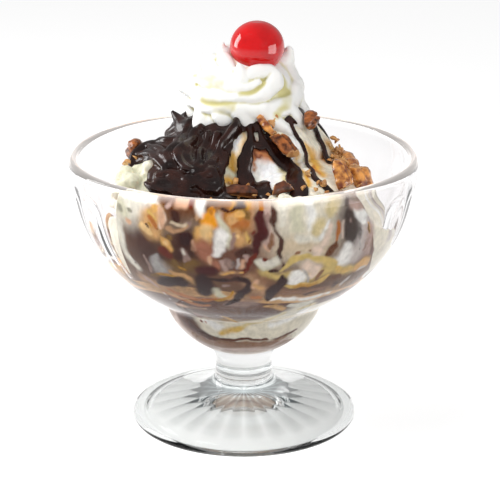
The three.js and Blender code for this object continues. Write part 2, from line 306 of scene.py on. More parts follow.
camera = bpy.data.objects.new("camera", bpy.data.cameras.new("camera"))
bpy.context.scene.collection.objects.link(camera)
camera.location = Vector((CAMERA_SIDE, -CAMERA_DISTANCE, CAMERA_HEIGHT)) * MM
camera.rotation_euler = (math.pi / 2 - CAMERA_PITCH, 0, 0)
camera.data.sensor_width = SENSOR_WIDTH
camera.data.lens = SENSOR_WIDTH * FOCAL_PIXELS / FRAME_PIXELS
camera.data.clip_start = 10 * MM
bpy.context.scene.camera = camera
bpy.context.scene.view_settings.view_transform = "Standard"
print("focal length:", round(camera.data.lens, 1), "mm")

# %% The floor, the world and the lamps
FLOOR_SIZE = 12000
FLOOR_GREY = (0.5, 0.5, 0.5)
FLOOR_GLOW = 0.66
WHITE = (1.0, 1.0, 1.0)
WORLD_LIGHT = 0.42

floor = added("floor", bpy.ops.mesh.primitive_plane_add, size=FLOOR_SIZE)
floor_finish = Finish("white floor", base_color=FLOOR_GREY, roughness=0.9,
                      emission_color=WHITE, emission_strength=FLOOR_GLOW)
floor.data.materials.append(floor_finish.data)

world = bpy.data.worlds.new("studio")
bpy.context.scene.world = world
world.use_nodes = True
sky = world.node_tree.nodes["Background"]
sky.inputs["Color"].default_value = (*WHITE, 1.0)
sky.inputs["Strength"].default_value = WORLD_LIGHT


LAMP_AIM = Vector((0, 0, 100))


def soft_box(name, place, size, watts, **seen_by):
    """A rectangular lamp that points at the sundae; some kinds of ray can be told not to see it."""
    lamp = bpy.data.lights.new(name, "AREA")
    lamp.shape = "RECTANGLE"
    lamp.size, lamp.size_y = size[0] * MM, size[1] * MM
    lamp.energy = watts
    holder = bpy.data.objects.new(name, lamp)
    bpy.context.scene.collection.objects.link(holder)
    holder.location = Vector(place) * MM
    holder.rotation_euler = (LAMP_AIM - Vector(place)).to_track_quat("-Z", "Y").to_euler()
    for kind, seen in seen_by.items():
        setattr(holder, "visible_" + kind, seen)


soft_box("left box", place=(-560, 150, 280), size=(240, 400), watts=2.4)
soft_box("top box", place=(-420, -230, 760), size=(340, 340), watts=3.9, glossy=False)
soft_box("front box", place=(300, -560, 420), size=(360, 360), watts=1.5, glossy=False)
soft_box("white card", place=(330, -150, 84), size=(270, 260), watts=1.1, diffuse=False, camera=False,
         transmission=False)

# %% [markdown]
# ## The glass dish
# The real dish is pressed in a mould: a thick-walled bowl, fluted inside, a small cup under it, a stem, and a
# foot with ribs beneath. It could be lathed from a curve with a Screw modifier. Spinning a drawn profile with
# the Spin operator keeps every ring where it was drawn, so that flutes and ribs can be pressed in afterwards.

# %% The dish's sizes
FLUTES = 24
RIM_RADIUS = 60.1
RIM_TOP = 97.4
BOWL_CENTRE = 94
BOWL_DEPTH = 55.5
CUP_RADIUS = 29
CUP_CENTRE = 51
CUP_DEPTH = 26.3
INNER_RADIUS = 57.3
INNER_DEPTH = 52.2
INNER_CUP_RADIUS = 25.8
INNER_CUP_DEPTH = 22.3
KINK = 45.6
INNER_KINK = 47.1
FLUTE_DEPTH = 0.8
FLUTE_START = (46, 56)  # the flutes begin softly between these heights, and end so too
FLUTE_END = (83, 90)
RIB_DEPTH = 0.08
RIB_END = (30, 33)  # the ribs run out between these radii
GROOVE_START = (8, 15)  # the painted shade between the ribs begins and ends between these radii
GROOVE_END = (30, 34)
RING_START = (31, 36)  # the thick ring round the foot, which gets painted shade as well
STAR_RADIUS = 10  # how far the painted glow of the star under the stem reaches


def arc(radius, centre, depth, low, high, steps):
    """Points up an ellipse about the axis, from one height to another, as (radius, height)."""
    start = math.asin(max(-1, (low - centre) / depth))
    end = math.asin(min(1, (high - centre) / depth))
    angles = np.linspace(start, end, steps)
    return [(radius * math.cos(a), centre + depth * math.sin(a)) for a in angles]


def inner_radius(height):
    """The inside radius of the dish at a height, without its flutes."""
    height = np.asarray(height, float)
    bowl = np.clip((height - BOWL_CENTRE) / INNER_DEPTH, -1, 0)
    cup = np.clip((height - CUP_CENTRE) / INNER_CUP_DEPTH, -1, 0)
    in_bowl = INNER_RADIUS * np.sqrt(1 - bowl**2)
    in_cup = INNER_CUP_RADIUS * np.sqrt(1 - cup**2)
    return np.where(height > INNER_KINK, in_bowl, in_cup)


def dish_profile():
    """The dish cut in half: under the foot, out to its edge, up the outside, over the rim and down inside."""
    under = [(0, 6.5), (3, 6.45), (8, 5.9), (14, 4.9), (20, 3.9), (26, 3.0), (30, 2.3), (32.6, 1.7),
             (34.2, 0.7), (35.4, 0.0), (38.2, 0.0), (39.3, 0.6), (40.0, 1.8), (39.6, 2.8), (38.5, 3.5),
             (36.6, 3.9), (33.5, 4.6), (28, 6.1), (22, 7.9), (17.5, 9.6), (14.4, 11.4), (12.4, 12.9),
             (11.4, 13.8), (11.0, 14.6), (10.4, 15.5), (10.1, 17), (10.0, 21), (10.3, 23.6), (11.2, 25.4)]
    cup = arc(CUP_RADIUS, CUP_CENTRE, CUP_DEPTH, 26.6, KINK - 0.6, 16)
    fillet = [(29.6, KINK), (31.2, KINK + 0.8)]
    bowl = arc(RIM_RADIUS, BOWL_CENTRE, BOWL_DEPTH, KINK + 1.6, BOWL_CENTRE, 34)
    rim = [(60.0, 95.6), (59.6, 96.6), (58.8, 97.3), (58.0, 97.4), (57.4, 96.9), (57.1, 95.8)]
    inner = arc(INNER_RADIUS, BOWL_CENTRE, INNER_DEPTH, INNER_KINK + 0.5, BOWL_CENTRE, 34)
    cup_floor = CUP_CENTRE - INNER_CUP_DEPTH
    inner_cup = arc(INNER_CUP_RADIUS, CUP_CENTRE, INNER_CUP_DEPTH, cup_floor, INNER_KINK - 0.7, 16)
    return under + cup + fillet + bowl + rim + inner[::-1] + inner_cup[::-1]


def spun(name, profile, steps):
    """Draws a profile point by point with Extrude and spins it round the Z axis into a closed shell."""
    piece = added(name, bpy.ops.mesh.primitive_plane_add, size=2)
    bpy.ops.object.mode_set(mode="EDIT")
    bpy.ops.mesh.merge(type="CENTER")
    here = profile[0]
    bpy.ops.transform.translate(value=(here[0] * MM, 0, here[1] * MM))
    for there in profile[1:]:
        step = ((there[0] - here[0]) * MM, 0, (there[1] - here[1]) * MM)
        bpy.ops.mesh.extrude_region_move(TRANSFORM_OT_translate={"value": step})
        here = there
    bpy.ops.mesh.select_all(action="SELECT")
    bpy.ops.mesh.spin(steps=steps, angle=TURN, center=(0, 0, 0), axis=(0, 0, 1))
    bpy.ops.mesh.select_all(action="SELECT")
    bpy.ops.mesh.remove_doubles(threshold=0.005 * MM)
    bpy.ops.mesh.normals_make_consistent(inside=False)
    bpy.ops.object.mode_set(mode="OBJECT")
    return piece


# %% Spin the dish and press in its flutes and ribs
def soft_step(value, low, high):
    """0 below low, 1 above high, and a smooth step between."""
    share = np.clip((value - low) / (high - low), 0, 1)
    return share * share * (3 - 2 * share)


dish = spun("pressed_glass_dish", dish_profile(), 12 * FLUTES)
points = points_of(dish)
radius = np.hypot(points[:, 0], points[:, 1])
angle = np.arctan2(points[:, 1], points[:, 0])
height = points[:, 2]
wave = 0.5 + 0.5 * np.cos(FLUTES * angle)
ridge = 1 - np.abs(np.sin(FLUTES * angle / 2))
inside = (radius < inner_radius(height) + 0.2) & (height > INNER_KINK)
rise = FLUTE_DEPTH * wave * soft_step(height, *FLUTE_START) * (1 - soft_step(height, *FLUTE_END)) * inside
under_foot = (radius < 33) & (height < 7.6 - 0.14 * radius)
rib = RIB_DEPTH * (ridge - 0.4) * (radius / RIB_END[0]) * (1 - soft_step(radius, *RIB_END)) * under_foot
shrink = (radius - rise) / np.maximum(radius, 1e-6)
points[:, 0] *= shrink
points[:, 1] *= shrink
points[:, 2] -= rib
put_points(dish, points)
# Painted shade: this marks the darker glass between the ribs and on the ring round the foot.
groove = (1 - ridge) * soft_step(radius, *GROOVE_START) * (1 - soft_step(radius, *GROOVE_END))
groove = groove + 0.5 * soft_step(radius, *RING_START)
# This marks a painted glow: a star of light under the stem.
star_glow = (0.4 + 0.6 * ridge) * np.exp(-((radius / STAR_RADIUS) ** 2)) * (height < 9)
for name, values in (("groove", groove * (height < 14)), ("star_glow", star_glow)):
    dish.data.attributes.new(name, "FLOAT", "POINT").data.foreach_set("value", values)
smooth(dish)
print("dish:", len(dish.data.polygons), "faces,", int(under_foot.sum()), "points under the foot")

# %% [markdown]
# Clear glass is a Principled shader with full transmission. Real glass lets lamplight through onto what is
# behind it. A path tracer finds that light slowly, so shadow rays pass through a Transparent shader instead.
# Light that runs along inside the real glass comes out at its rim, at its edges and at the star of ribs under
# the stem. The tracer gives such light up, so a faint glow stands for it there: painted light. The foot is
# darker than the bowl, partly as thick glass is and partly as painted shade. Between the ribs and at the
# thick ring round the foot the glass is painted darker still: painted shade.

# %% Clear pressed glass
EDGE_GLOW = 0.3
RIM_GLOW = 0.6
RIM_LIGHT = (1.0, 0.94, 0.9)
STAR_LIGHT = (0.5, 0.57, 0.59)
DARK = (0.0, 0.0, 0.0)
# The foot's tint is partly thick glass and partly painted shade; the groove tint is painted shade.
FOOT_TINT_AND_SHADE = (0.7, 0.71, 0.703)
GROOVE_SHADE_TINT = (0.56, 0.57, 0.563)
BOWL_TINT = (0.93, 0.92, 0.926)
SHADOW_TINT = (0.96, 0.965, 0.963)
STEM_LEVELS = (16, 36)  # the foot's tint and painted shade turn into the bowl's tint between these heights
RIM_LEVELS = (94.8, 96.4)  # the rim's glow begins between these


def clear_glass():
    glass = Finish("clear pressed glass", roughness=0.0, IOR=1.45, specular_tint=(0.35, 0.35, 0.35),
                   transmission_weight=1.0, emission_strength=1.0)
    height = glass.node("ShaderNodeSeparateXYZ", {}, glass.place(), output="Z") / MM
    above_stem = height.clear_of(*STEM_LEVELS)
    foot_tint_and_shade = glass.blend(glass.value_of("groove"), FOOT_TINT_AND_SHADE, GROOVE_SHADE_TINT)
    glass.set(base_color=glass.blend(above_stem, foot_tint_and_shade, BOWL_TINT))
    grazing = glass.node("ShaderNodeLayerWeight", {}, Blend=0.5, output="Facing")
    edge_glow = EDGE_GLOW * grazing**6 * above_stem
    rim_glow = RIM_GLOW * (0.3 + 0.7 * grazing) * height.clear_of(*RIM_LEVELS)
    glow = glass.blend(edge_glow + rim_glow, DARK, RIM_LIGHT)
    glass.set(emission_color=glass.blend(glass.value_of("star_glow"), glow, STAR_LIGHT))
    glass.bump(glass.noise(9, detail=1.0), 0.12, strength=0.3)
    shadow_ray = glass.node("ShaderNodeLightPath", {}, output="Is Shadow Ray")
    through = glass.node("ShaderNodeBsdfTransparent", {}, Color=SHADOW_TINT)
    mix = glass.node("ShaderNodeMixShader", {}, shadow_ray, Wire(glass, glass.shader.outputs[0]), through)
    glass.fill(glass.tree.nodes["Material Output"].inputs["Surface"], mix)
    return glass.data


finished(dish, "glass", clear_glass(), "glass_dish")

# %% [markdown]
# ## The scoops of ice cream
# A scoop is a ball that the spoon tore from the tub, so its skin is creased and pitted. Where it meets the
# glass it is pressed flat and melts against it. A sphere, subdivided and displaced, gives the ball, and every
# point that would lie outside the dish is moved back to the inner wall.

# %% Shape the scoops
WALL_BITE = 0.08  # how far the fillings reach into the glass


def pressed(points, bite=WALL_BITE):
    """Moves every point that lies outside the dish back to its inner wall."""
    points = np.array(points)
    radius = np.hypot(points[:, 0], points[:, 1])
    below_lip = points[:, 2] < RIM_TOP - 3
    limit = np.where(below_lip, inner_radius(points[:, 2]) + bite, INNER_RADIUS - 0.6)
    share = np.minimum(1, limit / np.maximum(radius, 1e-6))
    points[:, 0] *= share
    points[:, 1] *= share
    return points


SCOOPS = {
    "scoop_top": ((2.5, -1, 91), (29.5, 28.5, 26)),
    "scoop_left": ((-16.5, -15, 79), (27, 31, 26)),
    "scoop_right": ((19, -21, 73), (29, 33, 27)),
    "scoop_back": ((3, 24, 74), (33, 30, 27)),
}  # the middle of each scoop, and its half sizes
for seed, (node, (centre, radii)) in enumerate(SCOOPS.items()):
    scoop = added("ice_cream_" + node, bpy.ops.mesh.primitive_ico_sphere_add, subdivisions=6, radius=1)
    put_points(scoop, points_of(scoop) * radii + centre)
    roughened(scoop, size=16, depth=3.5, seed=0.31 * seed + 0.1)
    roughened(scoop, size=5, depth=1.6, seed=0.17 * seed + 0.2, noise_depth=3)
    put_points(scoop, pressed(points_of(scoop)))
    smooth(scoop)
    print(scoop.name, "is", np.ptp(points_of(scoop), axis=0).round(1), "mm")

# %% [markdown]
# ## Finding places on the heap and on the glass
# Sauce runs over the scoops, so its path is given on the heap: a compass angle, 0 at the front and positive
# to the right, and an angle down from the top. A streak against the glass has a compass angle and a height.
# A Shrinkwrap modifier could lay paths on the scoops. Casting rays back at them gives the same surface as
# plain numbers, so that thickness and paint can be worked out in millimetres.

# %% Cast rays back at the scoops
HEAP_CENTRE = np.array([1, -2, 78.0])
FAR_OUT = 90 * MM  # rays start this far from the heap's centre
LOWEST_DOWN = 92  # and are cast at each whole degree down to here
NO_SCOOP = 40  # the reach where a ray meets no scoop


def direction(at, down):
    """Unit vectors from the heap's centre, from compass angles and angles down from the top."""
    at, down = np.broadcast_arrays(np.radians(at), np.radians(down))
    return np.stack([np.sin(at) * np.sin(down), -np.cos(at) * np.sin(down), np.cos(down)], -1)


def heap_tree():
    """All the scoops as one tree that rays can be cast at."""
    corners, faces = [], []
    for node in SCOOPS:
        mesh = bpy.data.objects["ice_cream_" + node].data
        start = len(corners)
        corners += [vertex.co for vertex in mesh.vertices]
        faces += [[start + corner for corner in face.vertices] for face in mesh.polygons]
    return BVHTree.FromPolygons(corners, faces)


def cast_reach():
    """How far the scoops reach from the heap's centre, for each whole degree round and down."""
    tree = heap_tree()
    grid = np.zeros((360, LOWEST_DOWN))
    centre = Vector(HEAP_CENTRE) * MM
    for at in range(360):
        for down in range(LOWEST_DOWN):
            way = Vector(direction(at, down))
            hit = tree.ray_cast(centre + way * FAR_OUT, -way)[0]
            grid[at, down] = (hit - centre).length / MM if hit else NO_SCOOP
    return grid


def blurred(grid, rounds):
    """Evens out a grid that goes all the way round."""
    for _ in range(rounds):
        wide = np.concatenate([grid[-1:], grid, grid[:1]])
        grid = (wide[:-2] + 2 * wide[1:-1] + wide[2:]) / 4
        inner = (grid[:, :-2] + 2 * grid[:, 1:-1] + grid[:, 2:]) / 4
        grid = np.concatenate([grid[:, :1], inner, grid[:, -1:]], axis=1)
    return grid


def sampled(grid, at, down):
    """Reads a grid between its whole degrees."""
    at, down = np.broadcast_arrays(np.asarray(at, float) % 360, np.clip(down, 0, 90))
    low_at, low_down = np.floor(at).astype(int), np.floor(down).astype(int)
    share_at, share_down = at - low_at, down - low_down
    rows = [grid[low_at % 360, low_down + step] * (1 - share_at)
            + grid[(low_at + 1) % 360, low_down + step] * share_at for step in (0, 1)]
    return rows[0] * (1 - share_down) + rows[1] * share_down


REACH = cast_reach()
SAUCE_BASE = blurred(np.maximum(REACH, blurred(REACH, 12)), 2)


def heap_point(at, down, lift=0.0):
    """Points on the evened-out heap, in millimetres, lifted off it."""
    reach = sampled(SAUCE_BASE, at, down) + lift
    return HEAP_CENTRE + direction(at, down) * reach[..., None]


def glass_point(at, height):
    """Points on the inside of the glass."""
    at, height = np.broadcast_arrays(np.radians(at), np.asarray(height, float))
    radius = inner_radius(height)
    return np.stack([radius * np.sin(at), -radius * np.cos(at), height], -1)


print("the heap reaches", round(REACH.min(), 1), "to", round(REACH.max(), 1), "mm")

# %% Smooth runs through a few stations
def run(stations, steps=6):
    """Fills in a smooth run between a few stations (a Catmull-Rom curve)."""
    knots = np.array(stations, float)
    knots = np.concatenate([2 * knots[:1] - knots[1:2], knots, 2 * knots[-1:] - knots[-2:-1]])
    shares = np.linspace(0, 1, steps, endpoint=False)[:, None]
    spans = []
    for a, b, c, d in zip(knots[:-3], knots[1:-2], knots[2:-1], knots[3:]):
        spans.append(0.5 * (2 * b + (c - a) * shares + (2 * a - 5 * b + 4 * c - d) * shares**2
                            + (3 * b - a - 3 * c + d) * shares**3))
    return np.concatenate([*spans, knots[-2:-1]])


def closeness(points, path, halves):
    """How far points lie from a path, as a share of the path's half width beside them."""
    best = np.full(len(points), 9.0)
    for a, b, half_a, half_b in zip(path[:-1], path[1:], halves[:-1], halves[1:]):
        along = b - a
        share = np.clip((points - a) @ along / max(along @ along, 1e-9), 0, 1)
        away = np.linalg.norm(points - a - share[:, None] * along, axis=1)
        best = np.minimum(best, away / (half_a + (half_b - half_a) * share))
    return best


def near_path(points, path, halves):
    """The points near enough to a path to need a closer look, and how close they are to it."""
    margin = 2.2 * halves.max() + 1
    box = (points > path.min(0) - margin) & (points < path.max(0) + margin)
    near = np.flatnonzero(box.all(axis=1))
    return near, closeness(points[near], path, halves)


# %% [markdown]
# ## Painting food
# Melting ice cream, caramel and fudge run into each other, and where they touch the glass the whole swirl
# shows. Hundreds of separate blobs would never meet cleanly. Instead each streak is a path with a width, and
# the mesh carries a colour attribute: every point takes the colours of the streaks that it lies in.

# %% The paints, and painting along runs
PAINTS = {name: np.array(tint(*colour)) for name, colour in {
    "white": (240, 240, 236),
    "pale": (226, 223, 210),
    "pale_green": (208, 206, 182),
    "cream": (226, 220, 202),
    "yellow_cream": (216, 200, 154),
    "beige": (204, 188, 162),
    "peach_cream": (226, 206, 190),
    "lump_shade": (150, 148, 132),
    "lilac": (196, 188, 184),
    "rose": (186, 160, 150),
    "peach": (214, 172, 142),
    "caramel_light": (230, 196, 142),
    "caramel": (220, 172, 104),
    "tan_gold": (208, 164, 112),
    "tan": (184, 146, 112),
    "gold_light": (214, 180, 104),
    "olive_caramel": (206, 182, 116),
    "honey": (210, 160, 62),
    "gold": (188, 138, 54),
    "amber": (232, 156, 52),
    "amber_brown": (184, 120, 52),
    "orange_brown": (178, 112, 66),
    "pink_brown": (166, 112, 92),
    "brown": (138, 102, 80),
    "olive_brown": (124, 96, 60),
    "umber": (112, 84, 66),
    "milk_brown": (104, 68, 50),
    "grey_brown": (124, 106, 92),
    "mauve": (152, 128, 120),
    "mauve_brown": (114, 82, 72),
    "dark_mauve": (80, 58, 54),
    "slate": (100, 94, 92),
    "dark_grey": (76, 68, 66),
    "grey_blue": (172, 170, 168),
    "dark_brown": (68, 48, 40),
    "rust": (112, 54, 28),
    "fudge_brown": (92, 56, 40),
    "red_brown": (78, 34, 20),
    "fudge": (58, 30, 24),
}.items()}
FRONT_LIGHT = 1.12  # how brightly the front of the glass is lit, as a share of full light
HAZE = np.array([0.012, 0.018, 0.021])  # what the glass reflects there
BARE_LIFT = 1.12  # on the heap the lamps stand to the side, so its paints are made lighter
DARKEST, LIGHTEST = 0.006, 0.92
BARE_PAINTS = {name: np.minimum(BARE_LIFT * colour, LIGHTEST) for name, colour in PAINTS.items()}
PAINTS = {name: np.clip((colour - HAZE) / FRONT_LIGHT, DARKEST, LIGHTEST) for name, colour in PAINTS.items()}
# A run fades out over this share of its half width.
SOFTNESS = {"wash": 0.85, "patch": 0.6, "streak": 0.35}
WOBBLES = ((6.0, 0.5), (2.3, 0.24), (1.1, 0.06))  # how long and how deep the waves in a run's edge are


def wavering(points, size, depth, seed=0.0):
    """Shifts points by soft waves, so that what is measured from them gets an uneven edge."""
    turns = points / size + seed
    x, y, z = turns.T
    shift = np.stack([np.sin(2.1 * y + 1.3 * z) + 0.5 * np.sin(4.7 * z + 3.1 * x),
                      np.sin(1.9 * z + 1.7 * x) + 0.5 * np.sin(5.3 * x + 2.3 * y),
                      np.sin(2.3 * x + 1.1 * y) + 0.5 * np.sin(4.3 * y + 3.7 * z)], -1)
    return points + depth * shift


def compass(points):
    """Compass angles round the axis: 0 at the front, 90 at the right."""
    return np.degrees(np.arctan2(points[:, 0], -points[:, 1]))


def angle_down(away):
    """Angles down from straight up."""
    return np.degrees(np.arccos(np.clip(away[:, 2] / np.linalg.norm(away, axis=1), -1, 1)))


def on_glass(points):
    """Where points of a filling would touch the glass."""
    return glass_point(compass(points), points[:, 2])


def on_heap(points):
    """The points of the evened-out heap that lie in the same directions from its centre."""
    away = points - HEAP_CENTRE
    return heap_point(compass(away), angle_down(away))


def painted(piece, ground, *coats):
    """Gives every point of a mesh a colour: the ground, and the last run over it.

    Each coat says where to look for a point, where the coat counts, which surface its runs lie on, and gives
    the runs and their paints."""
    points = points_of(piece)
    paint = np.tile([*PAINTS[ground], 1.0], (len(points), 1))
    for seen_from, counts, surface, runs, paints in coats:
        spots = seen_from(points)
        for size, depth in WOBBLES:
            spots = wavering(spots, size, depth, seed=size)
        for kind, colour, *stations in runs:
            way = run(stations)
            along = np.linspace(0, 1, len(way))
            taper = np.clip(4 * np.minimum(along, 1 - along), 0, 1) ** 0.7 if kind == "streak" else 1
            halves = np.maximum(way[:, 2], 0.5) / 2 * (0.5 + 0.6 * taper)
            near, share = near_path(spots, surface(way[:, 0], way[:, 1]), halves)
            soft = SOFTNESS[kind]
            cover = (1 - soft_step(share, 1 - soft, 1 + soft)) * counts(points[near])
            paint[near, :3] += cover[:, None] * (paints[colour] - paint[near, :3])
    colours = piece.data.color_attributes.new("paint", "FLOAT_COLOR", "POINT")
    colours.data.foreach_set("color", paint.ravel())


print(len(PAINTS), "paints")

# %% [markdown]
# ## The layers under the scoops
# Through the glass the sundae shows its order: a pool of fudge, soft ice cream, a fudge layer and a caramel
# layer. Each could be a slice cut from one block with booleans. Here each is a grid rolled into a drum: its
# floor is the layer below, its side the glass, and its top rises and falls along the wall.

# %% Levels of the layers
def hump(angle, centre, half_width):
    """A smooth hump of height 1 at a compass angle."""
    away = (angle - centre + 180) % 360 - 180
    return np.exp(-((away / half_width) ** 2))


def waves(angle, seed):
    """Soft waves all the way round, from about -1 to 1."""
    turn = np.radians(angle)
    rounds = ((3, 0.42), (7, 0.28), (12, 0.18), (23, 0.12))
    return sum(size * np.sin(count * turn + seed * (2.1 + count)) for count, size in rounds)


def pool_wall(at):
    """The level of the fudge pool along the wall, by compass angle."""
    return 36 + 10.6 * hump(at, -96, 44) ** 0.6 - 1.2 * hump(at, 70, 30) + 0.4 * waves(at, 1)


def band_wall(at):
    """The level of the ice cream band."""
    return 47.6 + 7.6 * hump(at, 44, 30) + 3 * hump(at, 160, 50) + 0.7 * waves(at, 2)


def fudge_wall(at):
    """The level of the fudge layer."""
    return 57.5 + 3 * hump(at, -20, 30) + 1.5 * hump(at, 62, 26) + 0.9 * waves(at, 3)


def caramel_wall(at):
    """The level of the caramel layer."""
    return 61.5 + 3 * hump(at, -20, 34) + 2 * hump(at, 62, 40) + 0.8 * waves(at, 4)


DISH_FLOOR = CUP_CENTRE - INNER_CUP_DEPTH
LAYERS = {  # the level at the axis, and at the wall
    "fudge_pool": (34, pool_wall),
    "ice_cream_band": (50, band_wall),
    "fudge_layer": (58, fudge_wall),
    "caramel_layer": (60.5, caramel_wall),
}
LAYER_SINK = 0.2  # each layer reaches this far into the one below
SHEET_SIZE = 100


# %% Roll a grid into a drum or a ring
def rolled(name, outline, columns):
    """A grid with one column of points for each step round, and one row for each point of the outline.

    Gives the piece, each point's compass angle, and each point's two values from the outline."""
    rows = len(outline)
    piece = added(name, bpy.ops.mesh.primitive_grid_add, x_subdivisions=columns, y_subdivisions=rows - 1,
                  size=SHEET_SIZE)
    share = points_of(piece)[:, :2] / SHEET_SIZE + 0.5
    row = np.rint(share[:, 1] * (rows - 1)).astype(int)
    return piece, 360 * share[:, 0] - 180, np.array(outline, float)[row].T


def closed_up(piece):
    """Merges the seam and the poles of a rolled grid, and turns its faces outwards."""
    pick(piece)
    bpy.ops.object.mode_set(mode="EDIT")
    bpy.ops.mesh.select_all(action="SELECT")
    bpy.ops.mesh.remove_doubles(threshold=0.002 * MM)
    bpy.ops.mesh.normals_make_consistent(inside=False)
    bpy.ops.object.mode_set(mode="OBJECT")
    return smooth(piece)


def around(radius, at, height):
    """Points at compass angles round the axis."""
    turn = np.radians(at)
    return np.stack([radius * np.sin(turn), -radius * np.cos(turn), height], -1)


# %% One layer as a drum
def layer(node, floor_level, top_level, wall_rows):
    """Shapes a drum between two levels, each given as (height at the axis, height at the wall)."""
    rings = [0, 0.25, 0.5, 0.7, 0.85, 0.94]
    side = [(1, row / wall_rows) for row in range(wall_rows + 1)]
    outline = [(ring, 0) for ring in rings] + side + [(ring, 1) for ring in rings[::-1]]
    piece, at, (share_out, share_up) = rolled("poured_" + node, outline, 720)
    heights = []
    for centre, wall in (floor_level, top_level):
        height = centre + (wall(at) - centre) * share_out**1.3
        heights.append(np.maximum(height, DISH_FLOOR - WALL_BITE))
    height = heights[0] + (heights[1] - heights[0]) * share_up
    radius = share_out * (inner_radius(np.maximum(height, DISH_FLOOR + 0.01)) + WALL_BITE)
    return closed_up(put_points(piece, around(radius, at, height)))


# %% [markdown]
# ## The swirl against the glass
# Where the scoops and sauces press against the bowl they smear into a coat. It could be painted on the scoops
# alone, but they don't fill the bowl. So the coat is a closed ring, 4 mm thick, whose upper edge climbs high
# at the front, where the bowl is packed, and stays low elsewhere.

# %% The coat's shape
COAT_THICK = 4.0
COAT_FLOOR = 60
COAT_LIMIT = 95.8  # the coat stays below the rim


def coat_top(at):
    """How high the coat climbs the glass at a compass angle."""
    left = soft_step(at, -50, -43)
    right = 1 - soft_step(at, 36, 62)
    packed = 64 + 31.5 * left * right
    ragged = 1.3 * waves(at, 6) + 0.7 * waves(2 * at, 9)
    tongues = 9 * hump(at, 118, 9) + 7 * hump(at, 158, 12) + 12 * hump(at, -150, 10) + 6 * hump(at, -112, 9)
    return np.minimum(packed + tongues + ragged, COAT_LIMIT)


def coat():
    """A ring against the wall: up its outside, over its ragged top and down inside."""
    rows = 92
    outside = [(0, row / rows) for row in range(rows + 1)]
    inside = [(1, row / 8) for row in range(8, -1, -1)]
    outline = outside + [(0.3, 1.01), (0.65, 1.01)] + inside + outside[:1]
    piece, at, (share_in, share_up) = rolled("swirl_against_the_glass", outline, 760)
    height = COAT_FLOOR + (coat_top(at) - COAT_FLOOR) * share_up
    edge = np.clip(1 - (coat_top(at) - height) / 1.5, 0, 1)
    radius = inner_radius(height) + WALL_BITE - COAT_THICK * share_in - 0.9 * edge**2
    return closed_up(put_points(piece, around(radius, at, height)))


# %% [markdown]
# The colours are laid on as a painter would: broad washes first, then patches and streaks from left to right,
# and then the loops of sauce lower down. Each run has a kind, a paint and (compass angle, height, width)
# stations. A wash has the softest edge, a patch a soft one, and a streak a clear edge and tapered ends.
#
# Nearly all of these stations, and part of those for the fudge and the cream further on, come out of separate
# scripts. Places were marked on a flat view from the front, and the scripts turned them into angles and
# heights, so this file doesn't work them out by itself.

# %% Broad washes under everything
STREAKS = [
    ("wash", "umber", (-30, 71, 8), (-20, 73, 9), (-13, 75.5, 7)),
    ("wash", "dark_mauve", (-38, 84.5, 6), (-35, 81, 12), (-34, 76.5, 13.5), (-30, 73.5, 10.5)),
    ("wash", "milk_brown", (-23, 94.5, 6.5), (-20, 92.5, 11), (-18, 90.5, 9)),
    ("wash", "grey_brown", (-25, 86.5, 5.5), (-19, 87.5, 6), (-15, 87.5, 5)),
    ("wash", "dark_brown", (-19, 84, 5), (-19, 80.5, 8.5), (-20, 77, 7.5)),
    ("wash", "olive_brown", (-27, 72.5, 3.5), (-22, 72, 4), (-17, 74.5, 3)),
    ("wash", "amber_brown", (1, 94, 9), (0, 90.5, 11.5), (-1, 87.5, 9)),
    ("wash", "mauve_brown", (-1, 80.5, 11.5), (-1, 76, 14.5), (-2, 72.5, 11.5)),
    ("wash", "brown", (8, 94.5, 4.5), (8, 88, 6), (8, 80, 5)),
    ("wash", "cream", (20, 94, 21.5), (21, 88, 22.5)),
    ("wash", "beige", (14, 81, 6), (21, 80, 7), (28, 79, 6)),
    ("wash", "slate", (35, 93, 3.5), (36, 88, 7.5), (40, 82.5, 10)),
    ("wash", "lilac", (43, 88, 5), (44, 81.5, 5), (42, 74.5, 7)),
    ("wash", "rose", (46, 82.5, 3.5), (48, 73.5, 3.5)),
    ("wash", "tan", (-43, 65.5, 3.5), (-38, 64, 3.5), (-31, 63, 3.5)),
    ("wash", "brown", (6, 69, 7), (5, 64, 6)),
    ("wash", "mauve", (3, 59, 5), (-5, 57.5, 4)),
    ("wash", "dark_brown", (11, 63, 3.5), (19, 63, 3.5), (28, 63, 3.5), (39, 63, 2.5)),
    ("wash", "brown", (16, 62.5, 3), (25, 62.5, 3), (36, 63, 2.5)),
    ("wash", "tan", (2, 68.5, 4), (5, 66, 4), (8, 63.5, 2.5)),
    ("wash", "olive_caramel", (7, 72, 3), (12, 70, 3), (21, 69, 4), (33, 70, 4), (44, 68.5, 3.5)),
    ("wash", "pale", (-40, 92, 12.5), (-34, 93, 8)),
]

